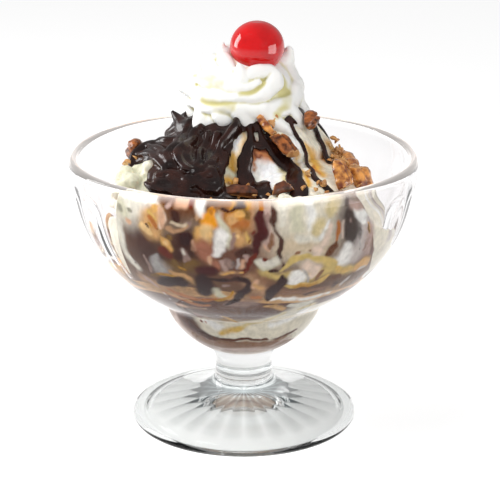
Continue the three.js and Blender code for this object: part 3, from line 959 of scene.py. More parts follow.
# %% The pale lump at the left, and the nuts beside it
STREAKS += [
    ("patch", "pale_green", (-43, 91, 3.5), (-42, 89, 4)),
    ("patch", "white", (-32, 93.5, 3), (-29, 93.5, 3.5)),
    ("streak", "grey_brown", (-44, 91.5, 0.5), (-43, 89, 0.5), (-41, 87.5, 0.5)),
    ("patch", "peach", (-41, 86.5, 1.5), (-40, 86, 2)),
    ("patch", "pale", (-45, 85, 3), (-45, 79, 3.5), (-45, 73.5, 3), (-42, 69.5, 3)),
    ("streak", "olive_caramel", (-45, 82, 0.5), (-45, 77, 1), (-44, 72.5, 0.5)),
    ("streak", "grey_brown", (-44, 83.5, 0.5), (-44, 78, 0.5), (-43, 73, 0.5), (-40, 68.5, 0.5)),
    ("streak", "white", (-44, 79.5, 1), (-44, 75, 1), (-42, 71.5, 1)),
    ("streak", "lump_shade", (-44, 90.5, 2.5), (-43, 88.5, 2)),
    ("streak", "lump_shade", (-32, 93.5, 2), (-30, 93.5, 1.5)),
    ("streak", "lump_shade", (-40, 90, 1.5), (-38, 90, 1)),
    ("patch", "white", (-30, 93.5, 3.5), (-32, 92, 2.5)),
    ("patch", "tan_gold", (-28, 92.5, 4), (-30, 89.5, 7), (-31, 86.5, 7.5), (-30, 84.5, 4.5)),
    # Painted highlights: this peach_cream patch and the peach patch further down, on the tan-gold patch.
    ("patch", "peach_cream", (-27, 92.5, 2), (-26, 90, 2), (-27, 87.5, 1.5)),
    ("streak", "gold", (-32, 87, 1), (-31, 86, 1)),
    ("patch", "gold_light", (-31, 91, 1.5), (-29, 89, 1.5)),
    ("streak", "rust", (-30, 87.5, 0.5), (-28, 86, 0.5)),
    ("streak", "dark_brown", (-28, 85, 0.5), (-27, 82.5, 1)),
    ("streak", "orange_brown", (-31, 89.5, 2), (-29, 87, 2.5)),
    ("patch", "peach", (-27, 92.5, 2), (-26, 88, 2)),
    ("streak", "caramel_light", (-35, 86.5, 2), (-34, 85, 2), (-31, 84, 2.5)),
    ("streak", "caramel", (-29, 93.5, 2.5), (-30, 91.5, 2)),
    ("streak", "dark_brown", (-32, 85, 1), (-33, 86.5, 0.5)),
    ("streak", "caramel", (-28, 84, 1.5), (-26, 82, 2.5), (-25, 79.5, 3), (-24, 77.5, 2)),
    ("streak", "caramel_light", (-26, 82, 1.5), (-25, 80, 1.5)),
    ("streak", "rust", (-28, 79, 3), (-26, 77.5, 3.5), (-24, 76.5, 2)),
    ("streak", "olive_brown", (-24, 75.5, 2), (-24, 72.5, 2)),
    ("patch", "grey_blue", (-30, 77, 1), (-31, 74, 3.5), (-30, 71, 5.5)),
    ("streak", "mauve", (-36, 76, 1), (-35, 72, 1.5), (-35, 69, 1.5)),
    ("streak", "slate", (-31, 80, 1), (-29, 78.5, 1)),
]

# %% Brown sauce between the lump and the front
STREAKS += [
    # Painted highlight: the peach patch at the top of the brown sauce.
    ("patch", "peach", (-21, 94.5, 2.5), (-19, 94.5, 2.5)),
    ("patch", "rose", (-24, 94, 1.5), (-23, 94.5, 1)),
    ("streak", "dark_brown", (-22, 91.5, 3.5), (-21, 90, 2.5)),
    ("streak", "rust", (-17, 94.5, 2), (-16, 94, 1.5)),
    ("streak", "tan", (-15, 94.5, 1.5), (-14, 92, 1.5), (-14, 89, 1)),
    ("streak", "olive_brown", (-24, 84, 2), (-23, 83, 2)),
    ("streak", "mauve", (-19, 87.5, 2), (-16, 88.5, 2.5)),
    ("streak", "mauve", (-20, 78.5, 1), (-20, 74.5, 1.5)),
    ("patch", "tan", (-24, 87, 1.5), (-21, 86, 1.5), (-17, 88, 1)),
    ("patch", "beige", (-23, 89, 1), (-19, 88, 1), (-16, 89.5, 1)),
    ("patch", "mauve", (-20, 79, 2), (-19, 76, 2)),
    ("patch", "pale", (-20, 79.5, 1), (-20, 78, 1)),
    ("streak", "gold", (-25, 74, 0.5), (-22, 72, 1), (-20, 71, 0.5)),
    ("streak", "fudge", (-18, 84.5, 3), (-18, 81.5, 3.5)),
]

# %% Caramel and nuts at the front
STREAKS += [
    ("patch", "white", (-13, 95, 3), (-13, 93, 3), (-12, 91, 1.5)),
    ("streak", "amber", (-9, 94.5, 2), (-9, 92.5, 3), (-10, 90, 5), (-10, 88.5, 4.5)),
    ("streak", "amber_brown", (-9, 94.5, 1.5), (-9, 92.5, 1.5)),
    ("streak", "caramel", (-11, 87, 5), (-13, 84, 4.5), (-14, 82, 3.5)),
    # Painted highlight: the light caramel patch and streak on the caramel.
    ("patch", "caramel_light", (-11, 87.5, 3), (-12, 84, 3)),
    ("streak", "caramel_light", (-11, 87, 1.5), (-12, 85, 1.5)),
    ("patch", "pink_brown", (-13, 81, 5), (-12, 78.5, 5)),
    # Painted highlights: these two peach patches on the pink-brown patch.
    ("patch", "peach", (-16, 82, 1), (-16, 79.5, 1.5)),
    ("patch", "peach", (-11, 77.5, 1.5), (-11, 75.5, 1.5)),
    ("patch", "pink_brown", (-9, 75.5, 2.5), (-9, 73.5, 1.5)),
    ("patch", "pale_green", (-7, 93.5, 1.5), (-6, 90, 2.5), (-5, 85, 2.5), (-5, 81, 1.5)),
    ("patch", "white", (-6, 86, 2), (-7, 81.5, 2.5)),
    ("patch", "white", (-7, 86.5, 3), (-8, 82.5, 3), (-9, 79, 2)),
    ("patch", "rose", (-6, 93, 1.5), (-5, 91, 1)),
    ("streak", "gold", (-4, 95, 1.5), (0, 95, 2), (4, 95, 1.5)),
    ("patch", "olive_brown", (0, 94.5, 2.5), (2, 92, 2.5)),
    ("patch", "tan_gold", (-3, 92, 2.5), (-2, 89, 2.5)),
    ("streak", "fudge", (-9, 95, 0.5), (-5, 94.5, 1), (3, 95, 1)),
    ("streak", "caramel", (-2, 93, 2), (1, 92.5, 2)),
    ("streak", "orange_brown", (-3, 88.5, 2), (2, 89.5, 2.5)),
    ("patch", "tan_gold", (-2, 86, 3), (-1, 83.5, 3.5), (0, 85, 2.5)),
    ("patch", "gold_light", (1, 86, 1.5), (2, 83.5, 1.5)),
    ("patch", "mauve", (-3, 86, 1.5), (-4, 81.5, 1.5)),
    ("streak", "caramel_light", (-2, 85, 1.5), (-1, 85, 1)),
    ("streak", "dark_mauve", (2, 80, 4), (-2, 78, 3.5)),
    ("patch", "rose", (-7, 76.5, 1.5), (-6, 73, 1.5)),
    ("patch", "peach", (0, 76, 1.5), (-1, 73.5, 1.5)),
    ("streak", "slate", (-4, 76, 1.5), (-4, 73, 1.5)),
    ("patch", "mauve", (-6, 77.5, 1.5), (-4, 74, 1.5)),
    ("patch", "lilac", (-2, 76.5, 1), (-2, 73, 1)),
    ("patch", "rose", (1, 78, 1.5), (2, 75, 1.5)),
    ("patch", "tan", (-8, 72, 1.5), (-2, 71.5, 1.5)),
    ("streak", "slate", (-5, 80.5, 0.5), (-4, 76.5, 0.5)),
]

# %% The dark drips right of the front
STREAKS += [
    ("patch", "pale_green", (5, 76, 2), (7, 74, 2.5), (10, 75.5, 3), (11, 77.5, 2)),
    ("patch", "pale", (6, 76, 2.5), (9, 75.5, 3), (11, 77, 2.5)),
    ("wash", "rose", (8, 94, 2.5), (8, 88.5, 3), (8, 83, 3)),
    ("streak", "mauve", (8, 93, 1.5), (8, 88.5, 1.5), (7, 84.5, 1)),
    ("streak", "brown", (9, 86.5, 1.5), (9, 81.5, 2)),
    ("patch", "peach", (7, 82, 1.5), (8, 81, 1)),
    ("streak", "rust", (7, 77.5, 1.5), (7, 77, 1)),
    ("streak", "rust", (4, 88, 1), (3, 85, 1), (2, 83, 1)),
    ("streak", "gold", (6, 95, 1.5), (6, 94.5, 1.5)),
    ("streak", "red_brown", (6, 94.5, 1.5), (6, 92.5, 2.5), (6, 90, 3.5), (6, 86.5, 3.5), (5, 84, 3),
     (4, 80.5, 2.5), (4, 77.5, 2)),
    ("streak", "amber_brown", (6, 95, 1.5), (6, 94, 1.5)),
    ("streak", "rust", (4, 78.5, 2), (2, 75, 2), (1, 73, 1.5), (0, 71, 1.5)),
    ("streak", "red_brown", (-16, 71.5, 3.5), (-12, 72.5, 4.5), (-10, 73.5, 2.5)),
    ("streak", "dark_mauve", (9, 95, 2), (10, 93.5, 2), (10, 91, 2), (11, 87.5, 1.5), (12, 83.5, 1.5),
     (12, 79, 1.5), (13, 75.5, 1.5), (14, 73, 1.5)),
    ("streak", "mauve", (8, 93.5, 1), (9, 90, 1)),
]

# %% The large scoop against the glass
STREAKS += [
    # Painted highlight: the white patch down the scoop.
    ("patch", "white", (21, 94.5, 3.5), (22, 91, 3), (23, 86.5, 3), (23, 84, 1.5)),
    ("patch", "pale", (19, 83, 3), (25, 83.5, 3)),
    ("patch", "pale", (13, 94.5, 3), (13, 89, 1.5)),
    ("patch", "pale_green", (17, 92, 3.5), (18, 87, 4)),
    ("patch", "yellow_cream", (29, 93, 4), (29, 90.5, 3)),
    ("patch", "yellow_cream", (25, 88.5, 3.5), (24, 85.5, 3)),
    # Painted highlight: the white streak along a fold.
    ("streak", "white", (29, 89.5, 1), (27, 86, 1.5), (26, 82.5, 2)),
    ("patch", "peach_cream", (26, 79.5, 3), (26, 76, 2.5)),
    ("streak", "brown", (23, 78.5, 1), (24, 78.5, 1)),
    ("streak", "brown", (17, 77.5, 1), (19, 78.5, 1)),
    ("streak", "orange_brown", (31, 90, 1), (32, 86.5, 1.5), (32, 84, 1.5), (32, 81, 1.5)),
    ("streak", "milk_brown", (32, 80.5, 2), (31, 77.5, 3), (31, 76, 2)),
    ("patch", "peach_cream", (34, 86.5, 1.5), (34, 81.5, 1.5)),
    ("patch", "peach_cream", (29, 86.5, 2), (28, 82.5, 2.5), (27, 78.5, 2.5)),
]

# %% Dark folds at the right
STREAKS += [
    ("streak", "dark_brown", (34, 93, 2), (34, 93, 2)),
    ("streak", "dark_grey", (35, 92, 2.5), (36, 88, 4), (37, 83.5, 5), (39, 80.5, 4)),
    ("streak", "slate", (40, 84.5, 2), (43, 79.5, 2)),
    ("streak", "mauve", (36, 89, 1), (38, 83.5, 1)),
    ("patch", "grey_blue", (42, 82, 1), (43, 77.5, 1)),
    ("streak", "white", (36, 92.5, 1.5), (39, 90, 2.5), (43, 86, 4)),
    ("streak", "white", (37, 92.5, 1), (40, 90.5, 1.5), (43, 88, 2)),
    ("patch", "lilac", (42, 84, 1.5), (45, 80, 1.5), (44, 76.5, 1.5)),
    ("patch", "rose", (36, 92.5, 2.5), (40, 91.5, 2.5)),
    ("patch", "white", (37, 78.5, 3), (37, 76, 4.5), (37, 73, 5.5)),
    ("streak", "mauve", (46, 82.5, 1), (46, 76.5, 1), (45, 74, 1)),
    ("streak", "caramel", (45, 85, 1), (46, 80.5, 1), (46, 76, 1)),
    ("streak", "slate", (44, 83.5, 0.5), (44, 78.5, 0.5), (43, 75.5, 0.5)),
    ("streak", "olive_brown", (45, 84.5, 1), (47, 76, 1)),
    ("streak", "mauve_brown", (51, 74, 3.5), (52, 71.5, 2)),
    ("streak", "caramel", (45, 69.5, 3), (49, 68.5, 5), (52, 69, 4)),
]

# %% Loops of caramel and fudge round the bowl
STREAKS += [
    ("streak", "dark_brown", (9, 72.5, 1.5), (12, 72.5, 1)),
    ("streak", "olive_caramel", (13, 72.5, 2), (16, 75, 3), (19, 76.5, 2), (24, 76.5, 2), (28, 75, 2.5),
     (33, 72.5, 3.5), (35, 70, 3)),
    ("streak", "gold_light", (35, 70, 2.5), (40, 68.5, 2.5), (45, 69, 2.5)),
    ("patch", "peach_cream", (23, 73, 4.5), (27, 71.5, 4), (25, 69.5, 2)),
    ("streak", "brown", (31, 70.5, 1.5), (29, 69, 2), (27, 67, 1)),
    ("streak", "white", (19, 72.5, 0.5), (19, 70.5, 3.5), (20, 68, 5.5), (17, 66.5, 3)),
    ("patch", "grey_blue", (20, 73, 0.5), (23, 70, 1), (25, 67, 0.5)),
    ("streak", "gold_light", (35, 68, 2), (31, 66.5, 2), (24, 66, 2), (18, 65, 2), (14, 65, 1.5)),
    ("streak", "milk_brown", (36, 66, 2.5), (40, 66.5, 2)),
    ("streak", "fudge", (-34, 64, 3.5), (-27, 66.5, 5), (-22, 66, 4)),
    ("streak", "gold", (-36, 67.5, 1), (-29, 69, 1), (-23, 69, 1)),
    ("patch", "tan_gold", (-26, 70.5, 1.5), (-24, 69.5, 1.5), (-21, 68.5, 1.5), (-18, 66, 1.5)),
    ("streak", "olive_brown", (-36, 67.5, 1.5), (-32, 68, 1.5)),
    ("streak", "fudge", (-15, 69.5, 6), (-15, 65.5, 6), (-15, 62.5, 4.5)),
    ("streak", "caramel", (-9, 71.5, 1), (-4, 71.5, 1), (0, 71.5, 1)),
    ("patch", "pale_green", (-11, 64.5, 2.5), (-10, 62, 2.5), (-8, 61.5, 1.5)),
    ("streak", "mauve", (-8, 66, 1.5), (-4, 67, 1.5)),
    ("streak", "gold", (-13, 61, 1), (-10, 59.5, 1.5), (-5, 62.5, 1), (-4, 64.5, 1)),
    ("streak", "fudge", (-12, 69, 2), (-6, 69, 2.5), (-1, 69, 2), (2, 67, 2.5), (0, 64, 3), (-3, 60.5, 3),
     (-7, 57.5, 2.5)),
    ("streak", "fudge", (14, 70, 3), (14, 66.5, 4), (11, 63.5, 4), (10, 60.5, 3)),
    ("streak", "orange_brown", (-31, 62.5, 1.5), (-27, 61, 2), (-22, 60, 2), (-16, 60, 2), (-11, 60, 1.5)),
    ("streak", "dark_brown", (-32, 58, 2), (-22, 57.5, 3.5), (-13, 57.5, 2.5)),
    ("patch", "rose", (-44, 68, 1.5), (-40, 65, 2), (-37, 62, 1.5)),
    ("streak", "white", (-36, 65, 0.5), (-36, 60.5, 0.5), (-35, 56.5, 0.5)),
    ("patch", "peach", (-35, 55, 2), (-26, 55, 2), (-18, 55, 1)),
    ("streak", "orange_brown", (3, 62.5, 1.5), (7, 61.5, 1.5)),
    # Painted highlight: the peach patch on the tan wash.
    ("patch", "peach", (3, 66, 1.5), (5, 68.5, 1.5)),
    ("patch", "gold", (20, 65, 1.5), (25, 65.5, 1.5), (29, 66, 1.5)),
    ("streak", "dark_brown", (24, 61.5, 1), (33, 62, 1)),
    ("patch", "tan_gold", (4, 67, 1.5), (7, 65.5, 1.5)),
    ("patch", "lilac", (43, 62.5, 1.5), (47, 66, 1.5), (51, 67, 1.5)),
    ("streak", "mauve", (54, 60, 1.5), (59, 62.5, 1.5)),
    ("patch", "orange_brown", (-36, 60.5, 1), (-28, 58.5, 1.5), (-20, 57, 2), (-13, 57.5, 1)),
    ("patch", "tan_gold", (-32, 60, 1), (-23, 58.5, 1)),
]

# %% The narrow cup under the bowl
STREAKS += [
    ("wash", "milk_brown", (-26, 55, 2.5), (-14, 54, 2), (-2, 53.5, 2)),
    ("wash", "cream", (-37, 45.5, 7.5), (-24, 45, 6.5), (-5, 45.5, 7), (14, 47, 6), (26, 52, 5.5),
     (30, 55, 6.5)),
    ("wash", "brown", (-61, 38, 5.5), (-47, 36, 4), (-27, 35.5, 2.5), (-3, 35.5, 2.5), (20, 36, 2.5),
     (39, 37, 2.5)),
    ("patch", "white", (-29, 44, 3.5), (-19, 43, 3)),
    ("patch", "white", (21, 43.5, 2), (39, 45.5, 4), (34, 52.5, 3)),
    ("patch", "yellow_cream", (-2, 43, 2.5), (14, 47, 2), (23, 53, 2)),
    ("wash", "rose", (-42, 52, 1.5), (-66, 40.5, 2.5), (-63, 37, 2.5), (-53, 34.5, 2), (-34, 33.5, 1.5),
     (-4, 33, 1.5), (28, 34, 1.5), (46, 36, 1.5)),
    ("streak", "fudge_brown", (-36, 55, 4.5), (-52, 47, 7.5), (-49, 42, 7.5), (-43, 39.5, 5), (-34, 38, 2),
     (-15, 37.5, 1.5), (6, 37.5, 1.5), (28, 37.5, 1.5), (50, 38, 2)),
    ("wash", "dark_brown", (-42, 49, 3), (-46, 42, 3), (-38, 39, 2), (-24, 38.5, 1)),
    ("streak", "rust", (-28, 51.5, 2), (-29, 49, 2)),
    ("streak", "brown", (-22, 51.5, 1), (-27, 46.5, 1)),
    ("streak", "rust", (-36, 44, 1), (-35, 43, 1)),
    ("streak", "orange_brown", (-31, 44, 0.5), (-30, 42.5, 0.5)),
    ("streak", "mauve_brown", (-18, 53, 1), (-17, 52, 1)),
    ("streak", "gold", (-11, 51, 1.5), (-7, 50.5, 1.5), (-4, 46.5, 1.5)),
    ("streak", "rust", (-8, 53, 0.5), (-5, 51, 0.5)),
    ("patch", "gold_light", (-18, 40.5, 2.5), (-10, 41.5, 3), (-3, 42.5, 2.5)),
    ("patch", "gold", (-14, 40.5, 1.5), (-10, 41.5, 1.5)),
    ("wash", "mauve_brown", (-11, 56.5, 2), (-1, 55.5, 2), (8, 57, 2)),
    ("patch", "white", (12, 60, 1.5), (20, 59.5, 2), (30, 59, 2), (39, 59.5, 2)),
    ("patch", "pale", (22, 56.5, 2), (33, 56.5, 3)),
    ("patch", "caramel", (10, 57.5, 1.5), (14, 56.5, 2.5), (20, 55, 2)),
    ("patch", "yellow_cream", (31, 54, 2), (37, 54.5, 2)),
]

# %% The right edge, and the foot of the cup all round
STREAKS += [
    ("patch", "lilac", (57, 92, 3), (60, 84, 3), (62, 76, 3)),
    ("patch", "white", (53, 90, 2), (56, 82, 3)),
    ("patch", "rose", (50, 94, 2.4), (56, 93, 2.4)),
    ("streak", "mauve", (59, 92, 1), (62, 84, 1.2), (63, 76, 1)),
    ("streak", "grey_brown", (66, 90, 1), (68, 82, 1.2), (67, 74, 1)),
    ("wash", "rose", (-180, 32, 4), (-90, 32, 4), (0, 32, 4), (90, 32, 4), (180, 32, 4)),
    ("wash", "peach_cream", (-180, 29.8, 9), (-90, 29.8, 9), (0, 29.8, 9), (90, 29.8, 9), (180, 29.8, 9)),
    ("wash", "peach_cream", (-180, 28.8, 10), (0, 28.8, 10), (180, 28.8, 10)),
]
print(len(STREAKS), "runs of colour")

# %% More runs, strewn round the sides and the back
FAR_PAINTS = ["tan", "milk_brown", "caramel", "pale", "white", "red_brown", "beige", "grey_brown",
              "amber_brown"]
FAR_RUNS = 96
FAR_LOOPS = ((57, "fudge"), (60, "caramel"), (55, "fudge_brown"), (63, "rust"))  # their heights


def far_side_streaks():
    """Leaning runs at random, and a few loops that go on round the back."""
    draw = random.Random(4)
    runs = []
    for step in range(FAR_RUNS):
        at = 60 + step * 2.5 + draw.uniform(-2, 2)
        top, bottom = draw.uniform(62, 84), draw.uniform(50, 62)
        lean, width = draw.uniform(-7, 7), draw.uniform(1.4, 5)
        middle = (at + lean * 0.7, (top + bottom) / 2, width)
        kind = draw.choice(["wash", "streak"])
        paint = draw.choice(FAR_PAINTS)
        runs.append((kind, paint, (at, top, 0.5 * width), middle, (at + lean, bottom, 0.6 * width)))
    for level, paint in FAR_LOOPS:
        loop = [(at, level + draw.uniform(-1.6, 1.6), draw.uniform(1.2, 3.4)) for at in range(62, 300, 12)]
        runs.append(("streak", paint, *loop))
    return runs


# %% The stains of caramel and fudge on the scoops
# Each has (compass angle, angle down, width) stations on the heap. A cream wash goes all round first.
STAINS = [
    ("wash", "cream", (-180, 60, 90), (-60, 60, 90), (60, 60, 90), (180, 60, 90)),
    ("wash", "white", (-9, 32, 6), (-8, 46, 9), (-6, 60, 9)),
    ("wash", "pale_green", (-10, 52, 6), (-6, 62, 7)),
    ("wash", "honey", (-11, 43, 2), (-10, 47, 3.6), (-9, 50, 3)),
    ("wash", "caramel_light", (-4, 30, 2), (-3, 40, 2.4), (-4, 50, 2.4)),
    ("wash", "honey", (-14, 60, 3), (-8, 60, 3.4), (-2, 62, 3)),
    ("wash", "white", (13, 40, 5), (14, 47, 9), (18, 54, 9), (14, 60, 8)),
    ("patch", "orange_brown", (3, 39, 4), (8, 41, 6), (14, 43.6, 5), (20, 46.6, 3)),
    ("streak", "rust", (4, 39, 2), (8, 40, 2.6), (13, 42, 2.4), (18, 44.4, 1.6)),
    ("streak", "rust", (5, 43, 1.8), (8, 46.4, 1.6), (12, 45.4, 1.4)),
    ("streak", "orange_brown", (6, 46, 1.4), (7, 50, 1.6), (6, 54, 1.2)),
    ("wash", "yellow_cream", (28, 50, 2.4), (25, 56, 2.6), (21, 61, 2)),
    ("wash", "white", (43, 36, 3), (42, 45, 4), (36, 54, 4), (31, 63, 4)),
    ("wash", "honey", (41, 48, 1.6), (34, 58, 2), (30, 66, 2.4)),
    ("wash", "cream", (52, 36, 5), (53, 45, 6), (50, 53, 7), (42, 61, 6)),
    ("wash", "honey", (50, 44, 2), (53, 50, 3.4), (47, 56, 4), (41, 62, 3)),
    ("streak", "amber_brown", (45, 56, 1.4), (41, 60, 1.8), (38, 64, 1.4)),
    ("wash", "amber_brown", (64, 55, 5), (66, 61, 8), (60, 68, 8)),
    ("wash", "gold", (84, 52, 6), (92, 62, 8), (86, 70, 7)),
    ("wash", "gold_light", (128, 50, 5), (130, 60, 7), (124, 70, 6)),
    ("wash", "yellow_cream", (158, 46, 6), (156, 58, 6), (154, 70, 5)),
    ("wash", "gold_light", (-158, 50, 4), (-156, 60, 6), (-160, 70, 5)),
    ("wash", "pale_green", (-80, 66, 12), (-64, 70, 14), (-52, 72, 12)),
]


# %% Paint the layers and the coat
def painted_finish(name, bump_size, bump_depth, **constants):
    """Wet, streaky dessert: the painted colour, mottled a little."""
    food = Finish(name, **constants)
    paint = food.node("ShaderNodeAttribute", {"attribute_name": "paint"}, output="Color")
    broad = food.noise(2.6, detail=4.0).clear_of(0.3, 0.7)
    fine = food.noise(1.1, detail=3.0, stretch=(1, 1, 0.5)).clear_of(0.3, 0.7)
    food.set(base_color=paint.scaled(0.83 + 0.18 * broad + 0.16 * fine))
    food.bump(food.noise(bump_size, detail=4.0), bump_depth, strength=0.5)
    return food.data


def everywhere(points):
    """A coat that counts at every point."""
    return 1.0


swirl = painted_finish("swirled dessert", bump_size=1.4, bump_depth=0.1, roughness=0.5,
                       specular_IOR_level=0.0)
THROUGH_GLASS = (on_glass, everywhere, glass_point, STREAKS + far_side_streaks(), PAINTS)
GROUNDS = {  # the paint under the runs, the rows of points up the wall, and the slot
    "fudge_pool": ("brown", 20, "fudge"),
    "ice_cream_band": ("cream", 60, "ice_cream"),
    "fudge_layer": ("fudge_brown", 36, "fudge"),
    "caramel_layer": ("tan_gold", 14, "caramel"),
}
below = (DISH_FLOOR, lambda at: DISH_FLOOR + 0 * at)
for node, level in LAYERS.items():
    ground, rows, slot = GROUNDS[node]
    piece = layer(node, below, level, rows)
    painted(piece, ground, THROUGH_GLASS)
    finished(piece, slot, swirl, node)
    centre, wall = level
    below = (centre - LAYER_SINK, lambda at, wall=wall: wall(at) - LAYER_SINK)

swirl_coat = coat()
painted(swirl_coat, "umber", THROUGH_GLASS)
finished(swirl_coat, "ice_cream", swirl)

# %% [markdown]
# The spoon pushed up a ragged lump at the edge of two scoops. Sculpting would shape it by hand. Here a lump
# is a heap of small knobs, roughened at two sizes and melted into its scoop with a voxel remesh. Then the
# scoops are painted as well: above the rim with stains of caramel and fudge, below it with the same runs as
# the coat.

# %% Add the ragged lumps and paint the scoops
LUMPS = {  # middle and half sizes of each lump, how many knobs it has, and their radii
    "scoop_left": [
        ((-37.5, -21, 90), (6.5, 11, 7.5), 46, (1.6, 3.4)),
        ((-31.5, -27, 98.5), (1.5, 1.5, 1.5), 6, (1.6, 2.6)),
    ],
    "scoop_right": [((17, -45, 92), (14, 3, 2), 30, (1.2, 2.4))],
}


def lump(middle, half_sizes, count, radii, seed):
    """A craggy lump: many small rough knobs strewn over an ellipsoid."""
    draw = np.random.default_rng(seed)
    knobs = []
    for _ in range(count):
        way = draw.normal(size=3)
        way *= draw.uniform(0.5, 1) / np.linalg.norm(way)
        knob = added("knob", bpy.ops.mesh.primitive_ico_sphere_add, subdivisions=3, radius=1)
        shape = points_of(knob) * draw.uniform(*radii) * draw.uniform(0.7, 1.2, 3)
        put_points(knob, shape + middle + way * half_sizes)
        knobs.append(knob)
    piece = roughened(joined("lump", knobs), size=3, depth=1.8, seed=0.1 * seed)
    return roughened(piece, size=1.2, depth=0.9, seed=0.2 * seed)


def above_rim(points):
    """Where the stains count."""
    return soft_step(points[:, 2], 90, 94)


def below_rim(points):
    """Where the runs behind the glass count."""
    return 1 - soft_step(points[:, 2], 91, 95)


ice_cream = painted_finish("vanilla ice cream", bump_size=0.8, bump_depth=0.25, roughness=0.45,
                           subsurface_weight=0.2, subsurface_scale=0.003, subsurface_radius=(1.0, 0.75, 0.5),
                           specular_IOR_level=0.4)
for node in SCOOPS:
    scoop = bpy.data.objects["ice_cream_" + node]
    if node in LUMPS:
        ragged = [lump(*sizes, seed=5 + i) for i, sizes in enumerate(LUMPS[node])]
        joined("ice_cream_" + node, [*ragged, scoop])
        melted(scoop, 0.45, rounds=1)
        put_points(scoop, pressed(points_of(scoop)))
    painted(scoop, "cream", (on_heap, above_rim, heap_point, STAINS, BARE_PAINTS),
            (on_glass, below_rim, glass_point, STREAKS, PAINTS))
    finished(scoop, "ice_cream", ice_cream, node)

# %% [markdown]
# ## Hot fudge over the scoops
# Hot fudge sets in thick folds: a heavy blanket on the left, with one fold pulled up to a point, and separate
# drips on the right with bare ice cream between them. Metaballs or a fluid simulation could make it. Working
# out its thickness at every point of a dome gives the same round-edged drips, each where it should run.

# %% Where the fudge drips
# Each run has a height of its own and goes through (compass angle, angle down, width) stations.
DRIPS = [
    (2.3, (-10, 24, 7), (-14, 33, 5), (-18, 40, 5), (-19, 48, 6), (-18, 56, 8), (-15, 64, 8), (-14, 71, 9)),
    (2.1, (5, 25, 4), (4, 30, 3), (3, 36, 3.6), (1, 44, 4.8), (-2, 51, 5.6), (-1, 57, 6), (2, 62, 6.6),
     (9, 65, 6.6)),
    (1.8, (13, 24, 3), (13, 30, 2.2), (13, 35, 2.4), (16, 40, 2.4), (20, 45, 2.4), (24, 50, 2.8),
     (25, 51.5, 2.2)),
    (1.4, (4, 37, 2.6), (9, 39, 3), (14, 41, 2.4)),
    (1.5, (20, 34, 2.6), (23, 42, 3.2), (27, 48, 3.8), (29, 54, 5)),
    (1.9, (31, 48, 3.2), (30, 55, 5.4), (26, 62, 6.4), (23, 69, 7.2), (22, 75, 6)),
    (1.2, (47, 32, 2), (46, 37, 1.7), (47, 42, 1.7), (47, 48, 1.7), (41, 55, 2), (36, 62, 2.6),
     (36, 67, 3.4), (37, 73, 4)),
    (1.6, (107, 28, 3), (100, 33, 2.4), (85, 37, 2.2), (70, 43, 2.2), (68, 51, 2.6), (61, 57, 3)),
    (1.9, (10, 62, 5.9), (9, 69, 5.5), (8, 76, 4)),
    (1.8, (-24, 68, 4), (-10, 67.5, 4.4), (2, 67, 4), (12, 67, 4)),
    (1.5, (10, 24, 6), (20, 27, 5), (32, 29, 4), (50, 30, 4), (75, 31, 5)),
    (1.9, (120, 30, 6), (118, 42, 5), (112, 54, 6), (108, 66, 5)),
    (1.7, (140, 30, 8), (142, 44, 6), (146, 56, 8), (142, 68, 5)),
    (1.8, (166, 28, 7), (170, 40, 8), (166, 54, 7), (170, 64, 5)),
    (1.8, (192, 30, 8), (190, 44, 7), (186, 56, 8), (188, 70, 5)),
    (1.8, (214, 30, 9), (218, 44, 10), (216, 56, 9), (222, 66, 7)),
]

# %% Where the blanket folds, and its edge
FOLDS = [
    (2.6, (-45, 33, 3), (-49, 36, 3.4), (-46, 41, 3.4), (-42, 47, 3.8), (-40, 51, 4.2), (-37, 55, 4),
     (-32, 58, 3.4), (-27, 59, 2.6)),
    (1.8, (-35, 35, 2.4), (-34, 40, 2.6), (-31, 46, 2.6), (-28, 51, 2.6), (-27, 56, 2.4)),
    (1.8, (-26, 36, 2.8), (-26, 43, 2.8), (-23, 50, 2.8), (-22, 55, 2.4)),
    (2.2, (-9, 26, 3), (-11, 31, 3), (-15, 36, 3), (-19, 41, 3), (-20, 47, 3), (-19, 53, 2.4)),
    (2.2, (-23, 61, 2.4), (-20, 60, 3.2), (-17, 57, 3.6), (-14, 60, 3.4), (-16, 63, 2.8), (-20, 63, 2.4)),
    (1.6, (-84, 54, 3), (-67, 54, 2.8), (-56, 53, 2.8), (-48, 55, 2.6), (-43, 58, 2.2)),
    (1.8, (-76, 61, 3), (-69, 59, 3.2), (-58, 56.5, 2.8), (-48, 58.5, 2.6), (-41, 61, 2.2)),
    (1.8, (-92, 46, 3), (-86, 42, 3.6), (-80, 38, 4), (-66, 33, 4.4)),
    (1.6, (-42, 64, 2.6), (-38, 62, 2.6), (-33, 61.5, 2.6), (-29, 63, 2.4), (-25, 66, 2)),
    (1.6, (-35, 64, 2.6), (-30, 66, 2.6), (-26, 68, 2.4)),
    (1.6, (-41, 67, 2.8), (-36, 65.5, 2.8), (-31, 67, 2.4)),
    (1.9, (-66, 33, 3), (-57, 40, 3.2), (-50, 47, 3.4), (-46, 54, 3.4), (-41, 58, 2.8)),
    (1.4, (-26, 58, 2.4), (-23, 57, 2.6), (-19, 56, 2.4), (-15, 52, 2.4)),
    (1.8, (-27, 62, 2.6), (-23, 64, 3), (-19, 66, 3), (-14, 67, 2.8)),
    (1.7, (-15, 46, 3.2), (-14, 55, 3.4), (-13, 60, 3.6), (-13, 65, 3.4)),
    (2.0, (-46, 69, 3), (-38, 69.5, 3.2), (-33, 69, 3.2), (-28, 70, 3.2), (-21, 70, 3)),
    (1.5, (-37, 47, 2.4), (-34, 53, 2.8), (-30, 56, 2.6)),
    (1.6, (-42, 74, 4), (-30, 76, 4.4), (-18, 75, 4)),
    (1.6, (-70, 48, 4), (-62, 46, 4), (-56, 44, 3.4)),
    (1.6, (-100, 34, 5), (-106, 44, 5), (-104, 52, 4)),
    (1.5, (-122, 32, 5), (-126, 44, 5), (-122, 54, 4)),
]
